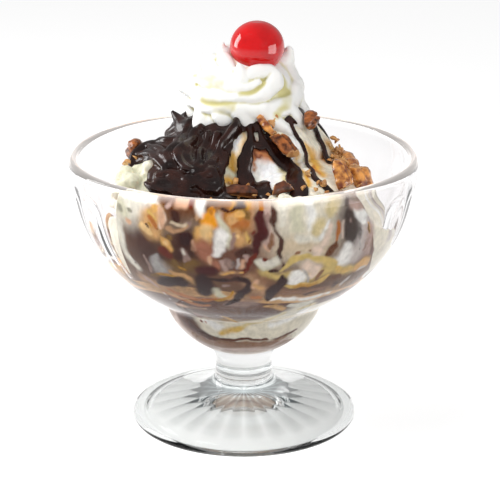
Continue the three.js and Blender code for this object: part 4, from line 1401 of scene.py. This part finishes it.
# The lower edge of the blanket on the left, as (compass angle, angle down).
BLANKET_EDGE = (
    (-140, 36), (-132, 52), (-120, 60), (-108, 54), (-94, 60), (-84, 63), (-70, 64), (-58, 62), (-51, 64),
    (-47, 70), (-40, 76), (-30, 79), (-18, 78), (-13, 72), (-10, 40), (-8, 31), (180, 31),
)
BLANKET_THICK = 1.7
EDGE_ROUND = 2.2  # the blanket's edge is rounded over this length
NO_FUDGE = -1.2  # the thickness that stands for bare ice cream
# The fold pulled up to a point, and the one at the left: (x, y, z, radius) stations.
PEAK = ((-17, -9, 104.5, 5.4), (-20, -6, 107.4, 3.6), (-22.4, -3, 109.8, 1.9), (-24.5, -0.5, 111.9, 0.6))
WING = ((-27, -14, 102.6, 2.6), (-31.5, -12, 102.2, 2.4), (-35.4, -13, 100.6, 2.1), (-37.4, -16, 98.0, 1.5),
        (-37.0, -18, 96.4, 1.0))


def rope(name, stations):
    """A tube through (x, y, z, radius) stations: a Bezier curve with a bevel, made a mesh."""
    pick()
    bpy.ops.curve.primitive_bezier_curve_add()
    piece = bpy.context.object
    piece.name = name
    spline = piece.data.splines[0]
    spline.bezier_points.add(len(stations) - 2)
    for point, (x, y, z, radius) in zip(spline.bezier_points, stations):
        point.co = Vector((x, y, z)) * MM
        point.radius = radius
        point.handle_left_type = point.handle_right_type = "AUTO"
    piece.data.dimensions = "3D"
    piece.data.bevel_depth = MM
    piece.data.bevel_resolution = 4
    piece.data.use_fill_caps = True
    bpy.ops.object.convert(target="MESH")
    return bpy.context.object


# %% Work out the fudge's thickness
def lens(share, middle_height, bare):
    """The height of a round-backed run from how close a point is to its middle."""
    return np.where(share < 1, middle_height * np.sqrt(np.clip(1 - share**2, 0, 1)), bare)


def raised(start, moved, runs, bare):
    """Lifts the values of points to the round backs of the runs that pass near them on the heap."""
    values = np.array(start)
    for height, *stations in runs:
        way = run(stations)
        near, share = near_path(moved, heap_point(way[:, 0], way[:, 1]), way[:, 2] / 2)
        values[near] = np.maximum(values[near], lens(share, height, bare))
    return values


def sauce_thickness(at, down, points):
    """The fudge's thickness over points of the heap; below zero where the ice cream is bare."""
    edges = np.array(BLANKET_EDGE, float)
    swing = 1.6 * waves(3 * at, 5) + 0.8 * waves(9 * at, 2)
    inside = np.interp((at + 180) % 360 - 180, edges[:, 0], edges[:, 1]) + swing - down
    inside_mm = np.radians(inside) * np.linalg.norm(points - HEAP_CENTRE, axis=1)
    rounded = BLANKET_THICK * np.sqrt(np.clip(inside_mm / EDGE_ROUND, 0, 1))
    moved = wavering(points, 4.0, 0.3, seed=2.0)
    sheet = raised(np.where(inside_mm > 0, rounded, NO_FUDGE), moved, DRIPS, NO_FUDGE)
    folds = raised(np.zeros(len(points)), moved, FOLDS, 0)
    return sheet + np.where(sheet > 0, folds, 0)


# %% Shape the blanket from a dome
DOME_ROWS = [(down, 0) for down in np.arange(0, 84.3, 0.5)]
fudge, at, (down, _) = rolled("hot_fudge", DOME_ROWS, 640)
heap = heap_point(at, down)
thick = sauce_thickness(at, down, heap)
closed_up(put_points(fudge, heap + direction(at, down) * thick[:, None]))
away = points_of(fudge) - HEAP_CENTRE
lift = np.linalg.norm(away, axis=1) - sampled(SAUCE_BASE, compass(away), angle_down(away))
bare = lift < -0.4  # these points lie well inside the ice cream


def delete_points(piece, chosen):
    """Deletes the chosen points, with the faces on them."""
    pick(piece)
    bpy.ops.object.mode_set(mode="EDIT")
    bpy.ops.mesh.select_mode(type="VERT")
    bpy.ops.mesh.select_all(action="DESELECT")
    bpy.ops.object.mode_set(mode="OBJECT")
    piece.data.vertices.foreach_set("select", chosen)
    bpy.ops.object.mode_set(mode="EDIT")
    bpy.ops.mesh.delete(type="VERT")
    bpy.ops.object.mode_set(mode="OBJECT")


delete_points(fudge, bare)
modified(fudge, "SOLIDIFY", thickness=1.6 * MM, offset=-1)
fudge = joined("hot_fudge", [rope("peak", PEAK), rope("wing", WING), fudge])
melted(fudge, 0.42, rounds=3)
put_points(fudge, pressed(points_of(fudge)))
print("fudge covers", int((~bare).sum()), "points of the dome")

# %% [markdown]
# Fudge is nearly black, with a sheen like satin: light catches its folds as soft grey lines. A low roughness
# with a little variation gives that, where a mirror-like coat would look like plastic.

# %% Hot fudge
def fudge_finish():
    sauce = Finish("hot fudge", specular_IOR_level=0.4)
    depth = sauce.noise(6, detail=3.0).clear_of(0.35, 0.7)
    sauce.set(base_color=sauce.blend(depth, tint(26, 12, 10), tint(50, 24, 17)))
    sauce.set(roughness=0.16 + 0.14 * sauce.noise(3, detail=2.0))
    sauce.bump(sauce.noise(3.4, detail=2.0), 0.3, strength=0.2)
    return sauce.data


finished(fudge, "fudge", fudge_finish(), "fudge_blanket")

# %% [markdown]
# ## Whipped cream
# A star nozzle laid a ridged rope in a rising spiral, with torn tips at the left. A star bent along a spiral
# curve gives ridges, but they run too evenly. The way that shaped the fudge works here too: a dome with
# round-backed runs laid over it, one for each turn and lobe, and creases where they meet. The tips
# are tapered ropes, and a fine voxel remesh melts all of it into one skin.

# %% Where the turns and lobes of cream run
# Each run goes through (compass angle, angle down, width) stations seen from the middle of the cream.
CREAM_MIDDLE = np.array([0.5, -0.5, 117.0])
CREAM_BODY = (17.4, 17.4, 16.0, 13.0)  # half sizes of the dome: across, deep, up and down
CREAM_RUNS = [
    # the upper turn: from the left tip along the front, round the right and back under the cherry
    ((-96, 84, 2), (-78, 82, 3.4), (-57, 80, 4.4), (-34, 79, 4.8), (-17, 80, 3.8), (-2, 79, 3.4),
     (12, 77, 3.8), (26, 72, 4.6), (38, 64, 5), (44, 57, 4.6), (37, 50, 4.4), (19, 48, 4), (5, 51, 3.6)),
    # the lower turn outside it
    ((104, 40, 3), (99, 56, 5), (94, 68, 5.6), (86, 79, 5.8), (66, 87, 5.6), (48, 91, 5.4), (30, 93, 5),
     (10, 92, 4.6), (-8, 91, 4), (-25, 90, 3.6), (-39, 90, 3.4), (-59, 91, 3.2), (-87, 93, 2.6)),
    # petals at the left, ending in tips
    ((-98, 67, 2), (-67, 62, 3.8), (-41, 63, 4.8), (-22, 66, 4.6), (-7, 68, 3.6), (4, 66, 3), (15, 62, 2.4)),
    ((-104, 50, 2), (-67, 49, 3.8), (-40, 53, 4.4), (-20, 57, 4.4), (-10, 60, 3.4)),
    ((-121, 28, 2.4), (-65, 30, 3.8), (-34, 39, 4.4), (-21, 48, 4.2)),
    # lobes along the bottom
    ((-87, 93, 3.6), (-82, 103, 4.2), (-76, 118, 4.4)),
    ((-52, 96, 4), (-46, 106, 4.4), (-47, 120, 4)),
    ((-27, 95, 3.8), (-20, 103, 4.4), (-18, 116, 4)),
    ((-6, 93, 5), (2, 102, 5.2), (6, 116, 4.6)),
    ((20, 92, 5), (30, 104, 5.2), (44, 118, 4.6)),
    ((53, 91, 4.8), (62, 106, 5.2), (70, 120, 4.6)),
    ((84, 90, 4.8), (88, 104, 4.8), (94, 120, 4.4)),
    # the back: two turns that rise to the left, and lobes under them
    ((86, 79, 5.6), (110, 78, 5.6), (140, 76, 5.6), (170, 74, 5.6), (200, 72, 5.4), (230, 69, 5),
     (262, 66, 3.6)),
    ((99, 56, 5), (125, 58, 5.2), (155, 56, 5.2), (185, 54, 5.2), (215, 52, 5), (245, 50, 4.4)),
    ((110, 34, 4.4), (150, 36, 4.8), (190, 34, 4.8), (230, 32, 4.4)),
    ((104, 92, 4.6), (130, 95, 4.8), (160, 95, 4.8), (190, 94, 4.8), (220, 93, 4.6), (250, 92, 4.2),
     (270, 92, 3.4)),
    *[((at, 100, 4.6), (at + 6, 110, 4.8), (at + 10, 122, 4.4)) for at in range(112, 262, 22)],
]
CREAM_FULLNESS = 0.62  # how far a run stands up, as a share of its width
CREAM_SPREAD = 1.25  # runs are this much wider than their stations say, so that they meet
CREAM_TIPS = [  # torn tips, through (x, y, z, radius) stations
    ((-12, -4, 118.6, 4.2), (-17.5, -4, 119.4, 2.6), (-20.8, -3.4, 120.1, 1.2), (-22.6, -3, 120.4, 0.5)),
    ((-11, -4, 124.0, 4.0), (-15.2, -3.6, 125.2, 2.4), (-17.6, -3, 126.0, 1.1), (-18.9, -2.6, 126.5, 0.5)),
    ((-8, -3, 128.0, 4.0), (-11.6, -2.8, 130.0, 2.6), (-13.8, -2.4, 131.2, 1.2), (-15.0, -2, 131.9, 0.5)),
    ((-5, -1, 128.0, 4.6), (-6.6, -1.4, 132.4, 3.0), (-7.2, -1.6, 134.6, 1.6), (-6.8, -1.8, 136.0, 0.6)),
    ((12, 3, 126.0, 5.0), (14.4, 2, 130.2, 3.4), (15.4, 0.6, 132.6, 1.8), (15.2, -0.4, 134.0, 0.7)),
    ((-0.4, -13.5, 124.2, 4.6), (-0.8, -14.2, 127.0, 3.4), (-1.2, -14.0, 129.4, 1.9),
     (-1.6, -13.4, 131.4, 0.6)),
]
CREAM_SKIRT = (  # lobes that rest on the heap: compass angle, half width in degrees, reach in millimetres
    (46, 22, 6.4), (-45, 20, 5.0), (2, 14, 0.8), (96, 20, 4.4), (140, 22, 4.6), (184, 22, 4.4),
    (228, 22, 4.4), (-90, 16, 1.6),
)


# %% The dome of cream, and how far the runs lift it
def cream_point(at, down):
    """Points on the cream's dome, with its skirt of low lobes."""
    skirt = sum(reach * hump(at, middle, half_width) for middle, half_width, reach in CREAM_SKIRT)
    skirt = skirt * soft_step(down, 90, 108) * (1 - soft_step(down, 122, 142))
    way = direction(at, down)
    across, deep, up, low = CREAM_BODY
    heights = np.where(way[..., 2] > 0, up, low)
    x, y, z = way[..., 0] / across, way[..., 1] / deep, way[..., 2] / heights
    reach = 1 / np.sqrt(x**2 + y**2 + z**2)
    return CREAM_MIDDLE + way * (reach + skirt)[..., None]


def cream_lift(points):
    """How far the runs lift the cream at points of the dome."""
    moved = wavering(points, 5.0, 0.35, seed=1.0)
    lift = np.zeros(len(points))
    for stations in CREAM_RUNS:
        way = run(stations)
        halves = way[:, 2] / 2 * CREAM_SPREAD
        near, share = near_path(moved, cream_point(way[:, 0], way[:, 1]), halves)
        lift[near] = np.maximum(lift[near], lens(share, CREAM_FULLNESS * way[:, 2].mean(), 0))
    return lift


# %% [markdown]
# The bottoms of the creases are painted a darker yellow: painted shade, with the yellower tone of thin cream.
# The Geometry node's Pointiness marks creases too, but only as wide as one face of the mesh. So each point
# gets a number of its own: how far a smoothed copy of the skin lies outside it.

# %% Mark the creases
CREAM_SHADES = [  # where more painted shade is laid: (compass angle, angle down, width) stations
    [(60, 59, 1.7), (57, 68, 3.4), (46, 76, 2.6)],
    [(-5, 76, 1.6), (7, 73, 2.3), (23, 64, 1.8)],
    [(-46, 83, 2.3), (-27, 86, 4), (-11, 88, 3.3)],
    [(-74, 65, 1.7), (-45, 64, 3.1), (-26, 65, 2.1)],
    [(29, 98, 2.3), (42, 88, 3.3), (56, 78, 2.3)],
    [(150, 70, 2.3), (176, 76, 4), (196, 80, 3)],
    [(-140, 84, 2.3), (-120, 86, 4), (-104, 84, 3)],
    [(96, 86, 2.3), (112, 80, 4), (128, 72, 3)],
]
CREASE_DEPTH = 1.3  # from a ridge to the bottom of a crease
SHADE_DEPTH = 0.3  # how much a shade adds


def mark_crease_shade(piece):
    """Marks painted shade by how deep each point lies in a crease: 0 on a ridge, 1 at the bottom."""
    before = points_of(piece)
    modified(piece, "SMOOTH", factor=0.7, iterations=40)
    after = points_of(piece)
    put_points(piece, before)
    normals = np.empty(len(before) * 3)
    piece.data.vertices.foreach_get("normal", normals)
    depth = ((after - before) * normals.reshape(-1, 3)).sum(axis=1)
    crease_shade = np.clip(0.5 + depth / CREASE_DEPTH, 0, 1)
    away = before - CREAM_MIDDLE
    spots = cream_point(compass(away), angle_down(away))
    for stations in CREAM_SHADES:
        way = run(stations)
        near, share = near_path(spots, cream_point(way[:, 0], way[:, 1]), way[:, 2])
        crease_shade[near] = np.minimum(crease_shade[near] + SHADE_DEPTH * (1 - soft_step(share, 0, 1)), 1)
    piece.data.attributes.new("crease_shade", "FLOAT", "POINT").data.foreach_set("value", crease_shade)


# %% Shape the cream
dome, at, (down, _) = rolled("cream dome", [(down, 0) for down in np.linspace(0, 180, 200)], 420)
on_dome = cream_point(at, down)
put_points(dome, on_dome + direction(at, down) * cream_lift(on_dome)[:, None])
tips = [rope("cream tip", stations) for stations in CREAM_TIPS]
whipped = joined("whipped_cream_rosette", [*tips, closed_up(dome)])
roughened(whipped, size=4, depth=0.5, seed=0.4)
melted(whipped, 0.42, rounds=2)
mark_crease_shade(whipped)

# %% Whipped cream
def cream_finish():
    cream = Finish("whipped cream", roughness=0.5, subsurface_weight=0.15, subsurface_scale=0.003,
                   subsurface_radius=(1.0, 0.9, 0.75), specular_IOR_level=0.35)
    crease_shade_share = cream.value_of("crease_shade").clear_of(0.5, 0.88)
    # The creases take a darker yellow: painted shade.
    cream.set(base_color=cream.blend(crease_shade_share, tint(238, 238, 235), tint(206, 198, 138)))
    cream.bump(cream.noise(1.2, detail=3.0), 0.12, strength=0.35)
    return cream.data


finished(whipped, "whipped_cream", cream_finish(), "whipped_cream")

# %% [markdown]
# ## The cherry
# A cocktail cherry is a ball drawn in a little where the stone and the stem were taken out, with a syrupy
# skin. A cube with a Subdivision modifier would make a ball too, but a UV sphere has its poles where the
# dimples belong.

# %% A cocktail cherry
CHERRY_CENTRE = np.array([4.6, -4, 134.9])
CHERRY_RADIUS = 9.2
CHERRY_SQUASH = 0.955  # its height as a share of its width
cherry = added("glace_cherry", bpy.ops.mesh.primitive_uv_sphere_add, segments=96, ring_count=64, radius=1)
ball = points_of(cherry)
ball[:, 2] *= CHERRY_SQUASH
shoulder = 1 - 0.03 * np.exp(-(((1 - ball[:, 2:] / CHERRY_SQUASH) / 0.02) ** 2))
creases = 1 + 0.006 * np.sin(5 * np.arctan2(ball[:, 1:2], ball[:, :1])) * (1 - ball[:, 2:] ** 2)
put_points(cherry, ball * shoulder * creases * CHERRY_RADIUS + CHERRY_CENTRE)
smooth(cherry)


def cherry_finish():
    skin = Finish("syrupy cherry skin", roughness=0.1, specular_IOR_level=0.4, subsurface_weight=0.06,
                  subsurface_scale=0.004, subsurface_radius=(1.0, 0.06, 0.04), coat_weight=0.3,
                  coat_roughness=0.03)
    mottle = skin.noise(5, detail=3.0).clear_of(0.3, 0.75)
    skin.set(base_color=skin.blend(mottle, tint(206, 5, 12), tint(186, 2, 7)))
    skin.bump(skin.noise(3, detail=2.0), 0.12, strength=0.3)
    return skin.data


finished(cherry, "cherry", cherry_finish(), "cherry")

# %% [markdown]
# ## Pecans
# Chopped pecans show two skins: the brown, grooved outside, and the pale, crumbly face where they broke. One
# half is modelled whole from a sphere and cut with Bisect in four ways, so that each chunk has real broken
# faces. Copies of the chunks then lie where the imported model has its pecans.

# %% One pecan half, and the chunks cut from it
HALF_LENGTH = 1 / MM  # half a nut's length is one of Blender's metres until a chunk gets its size


def pecan_half():
    """A pecan half: lobed, with a deep groove along its back and a flat belly."""
    half = added("pecan half", bpy.ops.mesh.primitive_ico_sphere_add, subdivisions=5, radius=HALF_LENGTH)
    ball = points_of(half) / HALF_LENGTH
    x, y, z = ball.T
    groove = 1 - 0.34 * np.exp(-((y / 0.2) ** 2)) * soft_step(z, 0, 0.7)
    side_groove = 1 - 0.12 * np.exp(-(((np.abs(y) - 0.55) / 0.12) ** 2)) * soft_step(z, 0, 0.5)
    lobes = 1 + 0.06 * np.cos(9 * x + 2 * y)
    wrinkles = 1 + 0.02 * np.sin(23 * x + 7 * np.abs(y)) + 0.015 * np.sin(31 * y + 11 * x)
    body = groove * side_groove * lobes * wrinkles
    belly = np.where(z < 0, 0.35, 1.0)
    shape = np.stack([x * wrinkles, 0.62 * y * lobes * wrinkles, 0.5 * z * belly * body], -1)
    return put_points(half, shape * HALF_LENGTH)


def copied(piece, name):
    """A copy of a piece, with a mesh of its own."""
    pick(piece)
    bpy.ops.object.duplicate()
    copy = bpy.context.object
    copy.name = name
    return copy


def chunk(half, name, *cuts):
    """A copy of the half, cut by planes given as (point, way out) in half lengths."""
    piece = copied(half, name)
    for point, way in cuts:
        bpy.ops.object.mode_set(mode="EDIT")
        bpy.ops.mesh.select_all(action="SELECT")
        bpy.ops.mesh.bisect(plane_co=point, plane_no=way, use_fill=True, clear_outer=True)
        bpy.ops.object.mode_set(mode="OBJECT")
    pick(piece)
    bpy.ops.object.mode_set(mode="EDIT")
    bpy.ops.mesh.select_all(action="SELECT")
    bpy.ops.mesh.quads_convert_to_tris()
    bpy.ops.object.mode_set(mode="OBJECT")
    return piece


# %% Break it into chunks
CHUNKS = {  # each cut leaves what is behind the plane
    "end": [((0.35, 0, 0), (1, 0.2, 0.1))],
    "middle": [((0.5, 0, 0), (1, -0.25, 0.2)), ((-0.55, 0, 0), (-1, 0.2, 0.15))],
    "sliver": [((0, 0.1, 0), (0.1, 1, 0.25)), ((0.75, 0, 0), (1, 0.3, -0.2))],
    "crumb": [((0.1, 0, 0), (1, 0.3, 0.3)), ((-0.45, 0, 0), (-1, 0.4, 0.2)), ((0, 0.12, 0), (-0.2, 1, 0.3))],
}
BROKEN_DEPTH = 0.05  # how rough a broken face is, in half lengths
CHUNK_VOXEL = 0.05


def broken_chunk(half, name):
    """A chunk as an even mesh, with its broken faces crumbled and marked."""
    piece = chunk(half, "pecan " + name, *CHUNKS[name])
    modified(piece, "REMESH", mode="VOXEL", voxel_size=CHUNK_VOXEL)
    points = points_of(piece) * MM
    middle = (points.max(0) + points.min(0)) / 2
    broken = np.zeros(len(points))
    draw = np.random.default_rng(len(name))
    for point, way in CHUNKS[name]:
        way = np.array(way) / np.linalg.norm(way)
        near = np.clip(1 - np.abs((points - point) @ way) / (1.6 * CHUNK_VOXEL), 0, 1)
        crumble = wavering(points, 0.05, 1.0, seed=draw.uniform(0, 9))[:, 0] - points[:, 0]
        points -= (near * (0.5 + 0.35 * crumble) * BROKEN_DEPTH)[:, None] * way
        broken = np.maximum(broken, near)
    put_points(piece, (points - middle) / MM)
    piece.data.attributes.new("broken", "FLOAT", "POINT").data.foreach_set("value", broken)
    return smooth(piece)


half = pecan_half()
chunks = {name: broken_chunk(half, name) for name in CHUNKS}
bpy.data.objects.remove(half)
print({name: len(piece.data.polygons) for name, piece in chunks.items()})

# %% Three finishes of pecan: dry, glazed with caramel, and smeared with fudge
def pecan_finish(name, dark, light, gloss=0.0, grain=1.9):
    nut = Finish(name, specular_IOR_level=0.5, coat_weight=gloss, coat_roughness=0.12)
    broken = nut.value_of("broken")
    streaks = nut.noise(grain, detail=4.0)
    skin = nut.blend(streaks.clear_of(0.3, 0.7), dark, light)
    meat = nut.blend(streaks.clear_of(0.35, 0.65), tint(214, 164, 104), tint(170, 112, 62))
    nut.set(base_color=nut.blend(broken.clear_of(0.2, 0.8), skin, meat), roughness=0.28 + 0.4 * broken)
    nut.bump(nut.noise(0.7, detail=3.0), 0.2, strength=0.5)
    return nut.data


pecan = pecan_finish("chopped pecan", tint(62, 26, 10), tint(168, 98, 48))
glazed_pecan = pecan_finish("glazed pecan", tint(112, 44, 10), tint(232, 160, 78), gloss=0.9, grain=2.6)
smeared_pecan = pecan_finish("pecan smeared with fudge", tint(48, 22, 12), tint(112, 58, 28), gloss=0.6)
GLAZED = ("pecan_4", "pecan_5", "pecan_6", "pecan_1")
SMEARED = ("pecan_9", "pecan_10")


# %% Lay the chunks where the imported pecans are
def principal_axes(points):
    """A body's long, middle and short direction, as rows; the short one points away from the heap."""
    axes = np.linalg.svd(points - points.mean(0), full_matrices=False)[2]
    if axes[2] @ (points.mean(0) - HEAP_CENTRE) < 0:
        axes[2] *= -1
    axes[1] = np.cross(axes[2], axes[0])
    return axes


SHAPES = ["sliver", "middle", "end", "end", "middle", "end", "middle", "end", "sliver", "crumb", "end",
          "middle"]
A_TOUCH_LARGER = (1.04, 1.04, 1.04)
SLIMMER = {
    "pecan_1": (0.9, 0.6, 0.9),
    "pecan_2": (0.8, 0.95, 1.0),
    "pecan_9": (1, 0.8, 0.8),
    "pecan_10": (1, 0.8, 0.8),
}
for number, shape in enumerate(SHAPES, 1):
    node = f"pecan_{number}"
    solid = points_of(bpy.data.objects[node])
    axes = principal_axes(solid)
    along = (solid - solid.mean(0)) @ axes.T
    size = np.ptp(along, axis=0)
    middle = solid.mean(0) + (along.max(0) + along.min(0)) / 2 @ axes
    nut = copied(chunks[shape], "chopped_" + node)
    own = points_of(nut)
    own = own / np.ptp(own, axis=0) * size * SLIMMER.get(node, A_TOUCH_LARGER)
    if node == "pecan_8":  # its broken face points the other way
        own *= (-1, -1, 1)
    put_points(nut, own @ axes + middle)
    skin = glazed_pecan if node in GLAZED else smeared_pecan if node in SMEARED else pecan
    finished(nut, "pecan", skin, node)

# %% [markdown]
# Between the chunks lie crumbs of nut. A particle system would strew them, but an export drops it. Copies of
# one coarse crumb, each turned and sized by a seeded draw and joined at the end, are a mesh like any other.

# %% Small chips of pecan
CHIP_PLACES = [  # compass angle, angle down, how far the chips spread in degrees, how many
    (66, 58, 3, 14), (74, 62, 4, 30), (60, 68, 4, 16), (84, 58, 9, 18), (86, 66, 8, 14), (32, 68, 4, 7),
    (28, 33, 5, 5), (-3, 68, 7, 8), (17, 68, 4, 5), (-78, 60, 6, 5), (108, 66, 12, 9), (150, 60, 16, 9),
    (-130, 62, 14, 9), (178, 64, 16, 9),
]
CHIP_SIZES = (1.4, 3.6)
CHIP_SHAPE = (1, 0.8, 0.6)


def chips():
    """Many little crumbs of nut, each a few dozen faces, strewn on the fudge."""
    seed_chip = copied(chunks["crumb"], "chip")
    modified(seed_chip, "DECIMATE", ratio=0.05)
    own = points_of(seed_chip)
    own = own / np.ptp(own, axis=0).max()
    draw = np.random.default_rng(11)
    pieces = []
    for at, down, spread, count in CHIP_PLACES:
        for _ in range(count):
            spot_at, spot_down = draw.normal(at, spread), draw.normal(down, spread * 0.6)
            size = draw.uniform(*CHIP_SIZES)
            turn = np.linalg.qr(draw.normal(size=(3, 3)))[0]
            turn *= np.sign(np.linalg.det(turn))
            chip = copied(seed_chip, "chip")
            spot = heap_point(spot_at, spot_down, 1.6 + 0.15 * size)
            put_points(chip, pressed(own * size * CHIP_SHAPE @ turn + spot, bite=-0.6))
            pieces.append(chip)
    bpy.data.objects.remove(seed_chip)
    return joined("pecan_chips", pieces)


nut_chips = chips()
finished(nut_chips, "pecan", pecan_finish("pecan crumbs", tint(132, 78, 32), tint(234, 192, 132)))
for piece in chunks.values():
    bpy.data.objects.remove(piece)
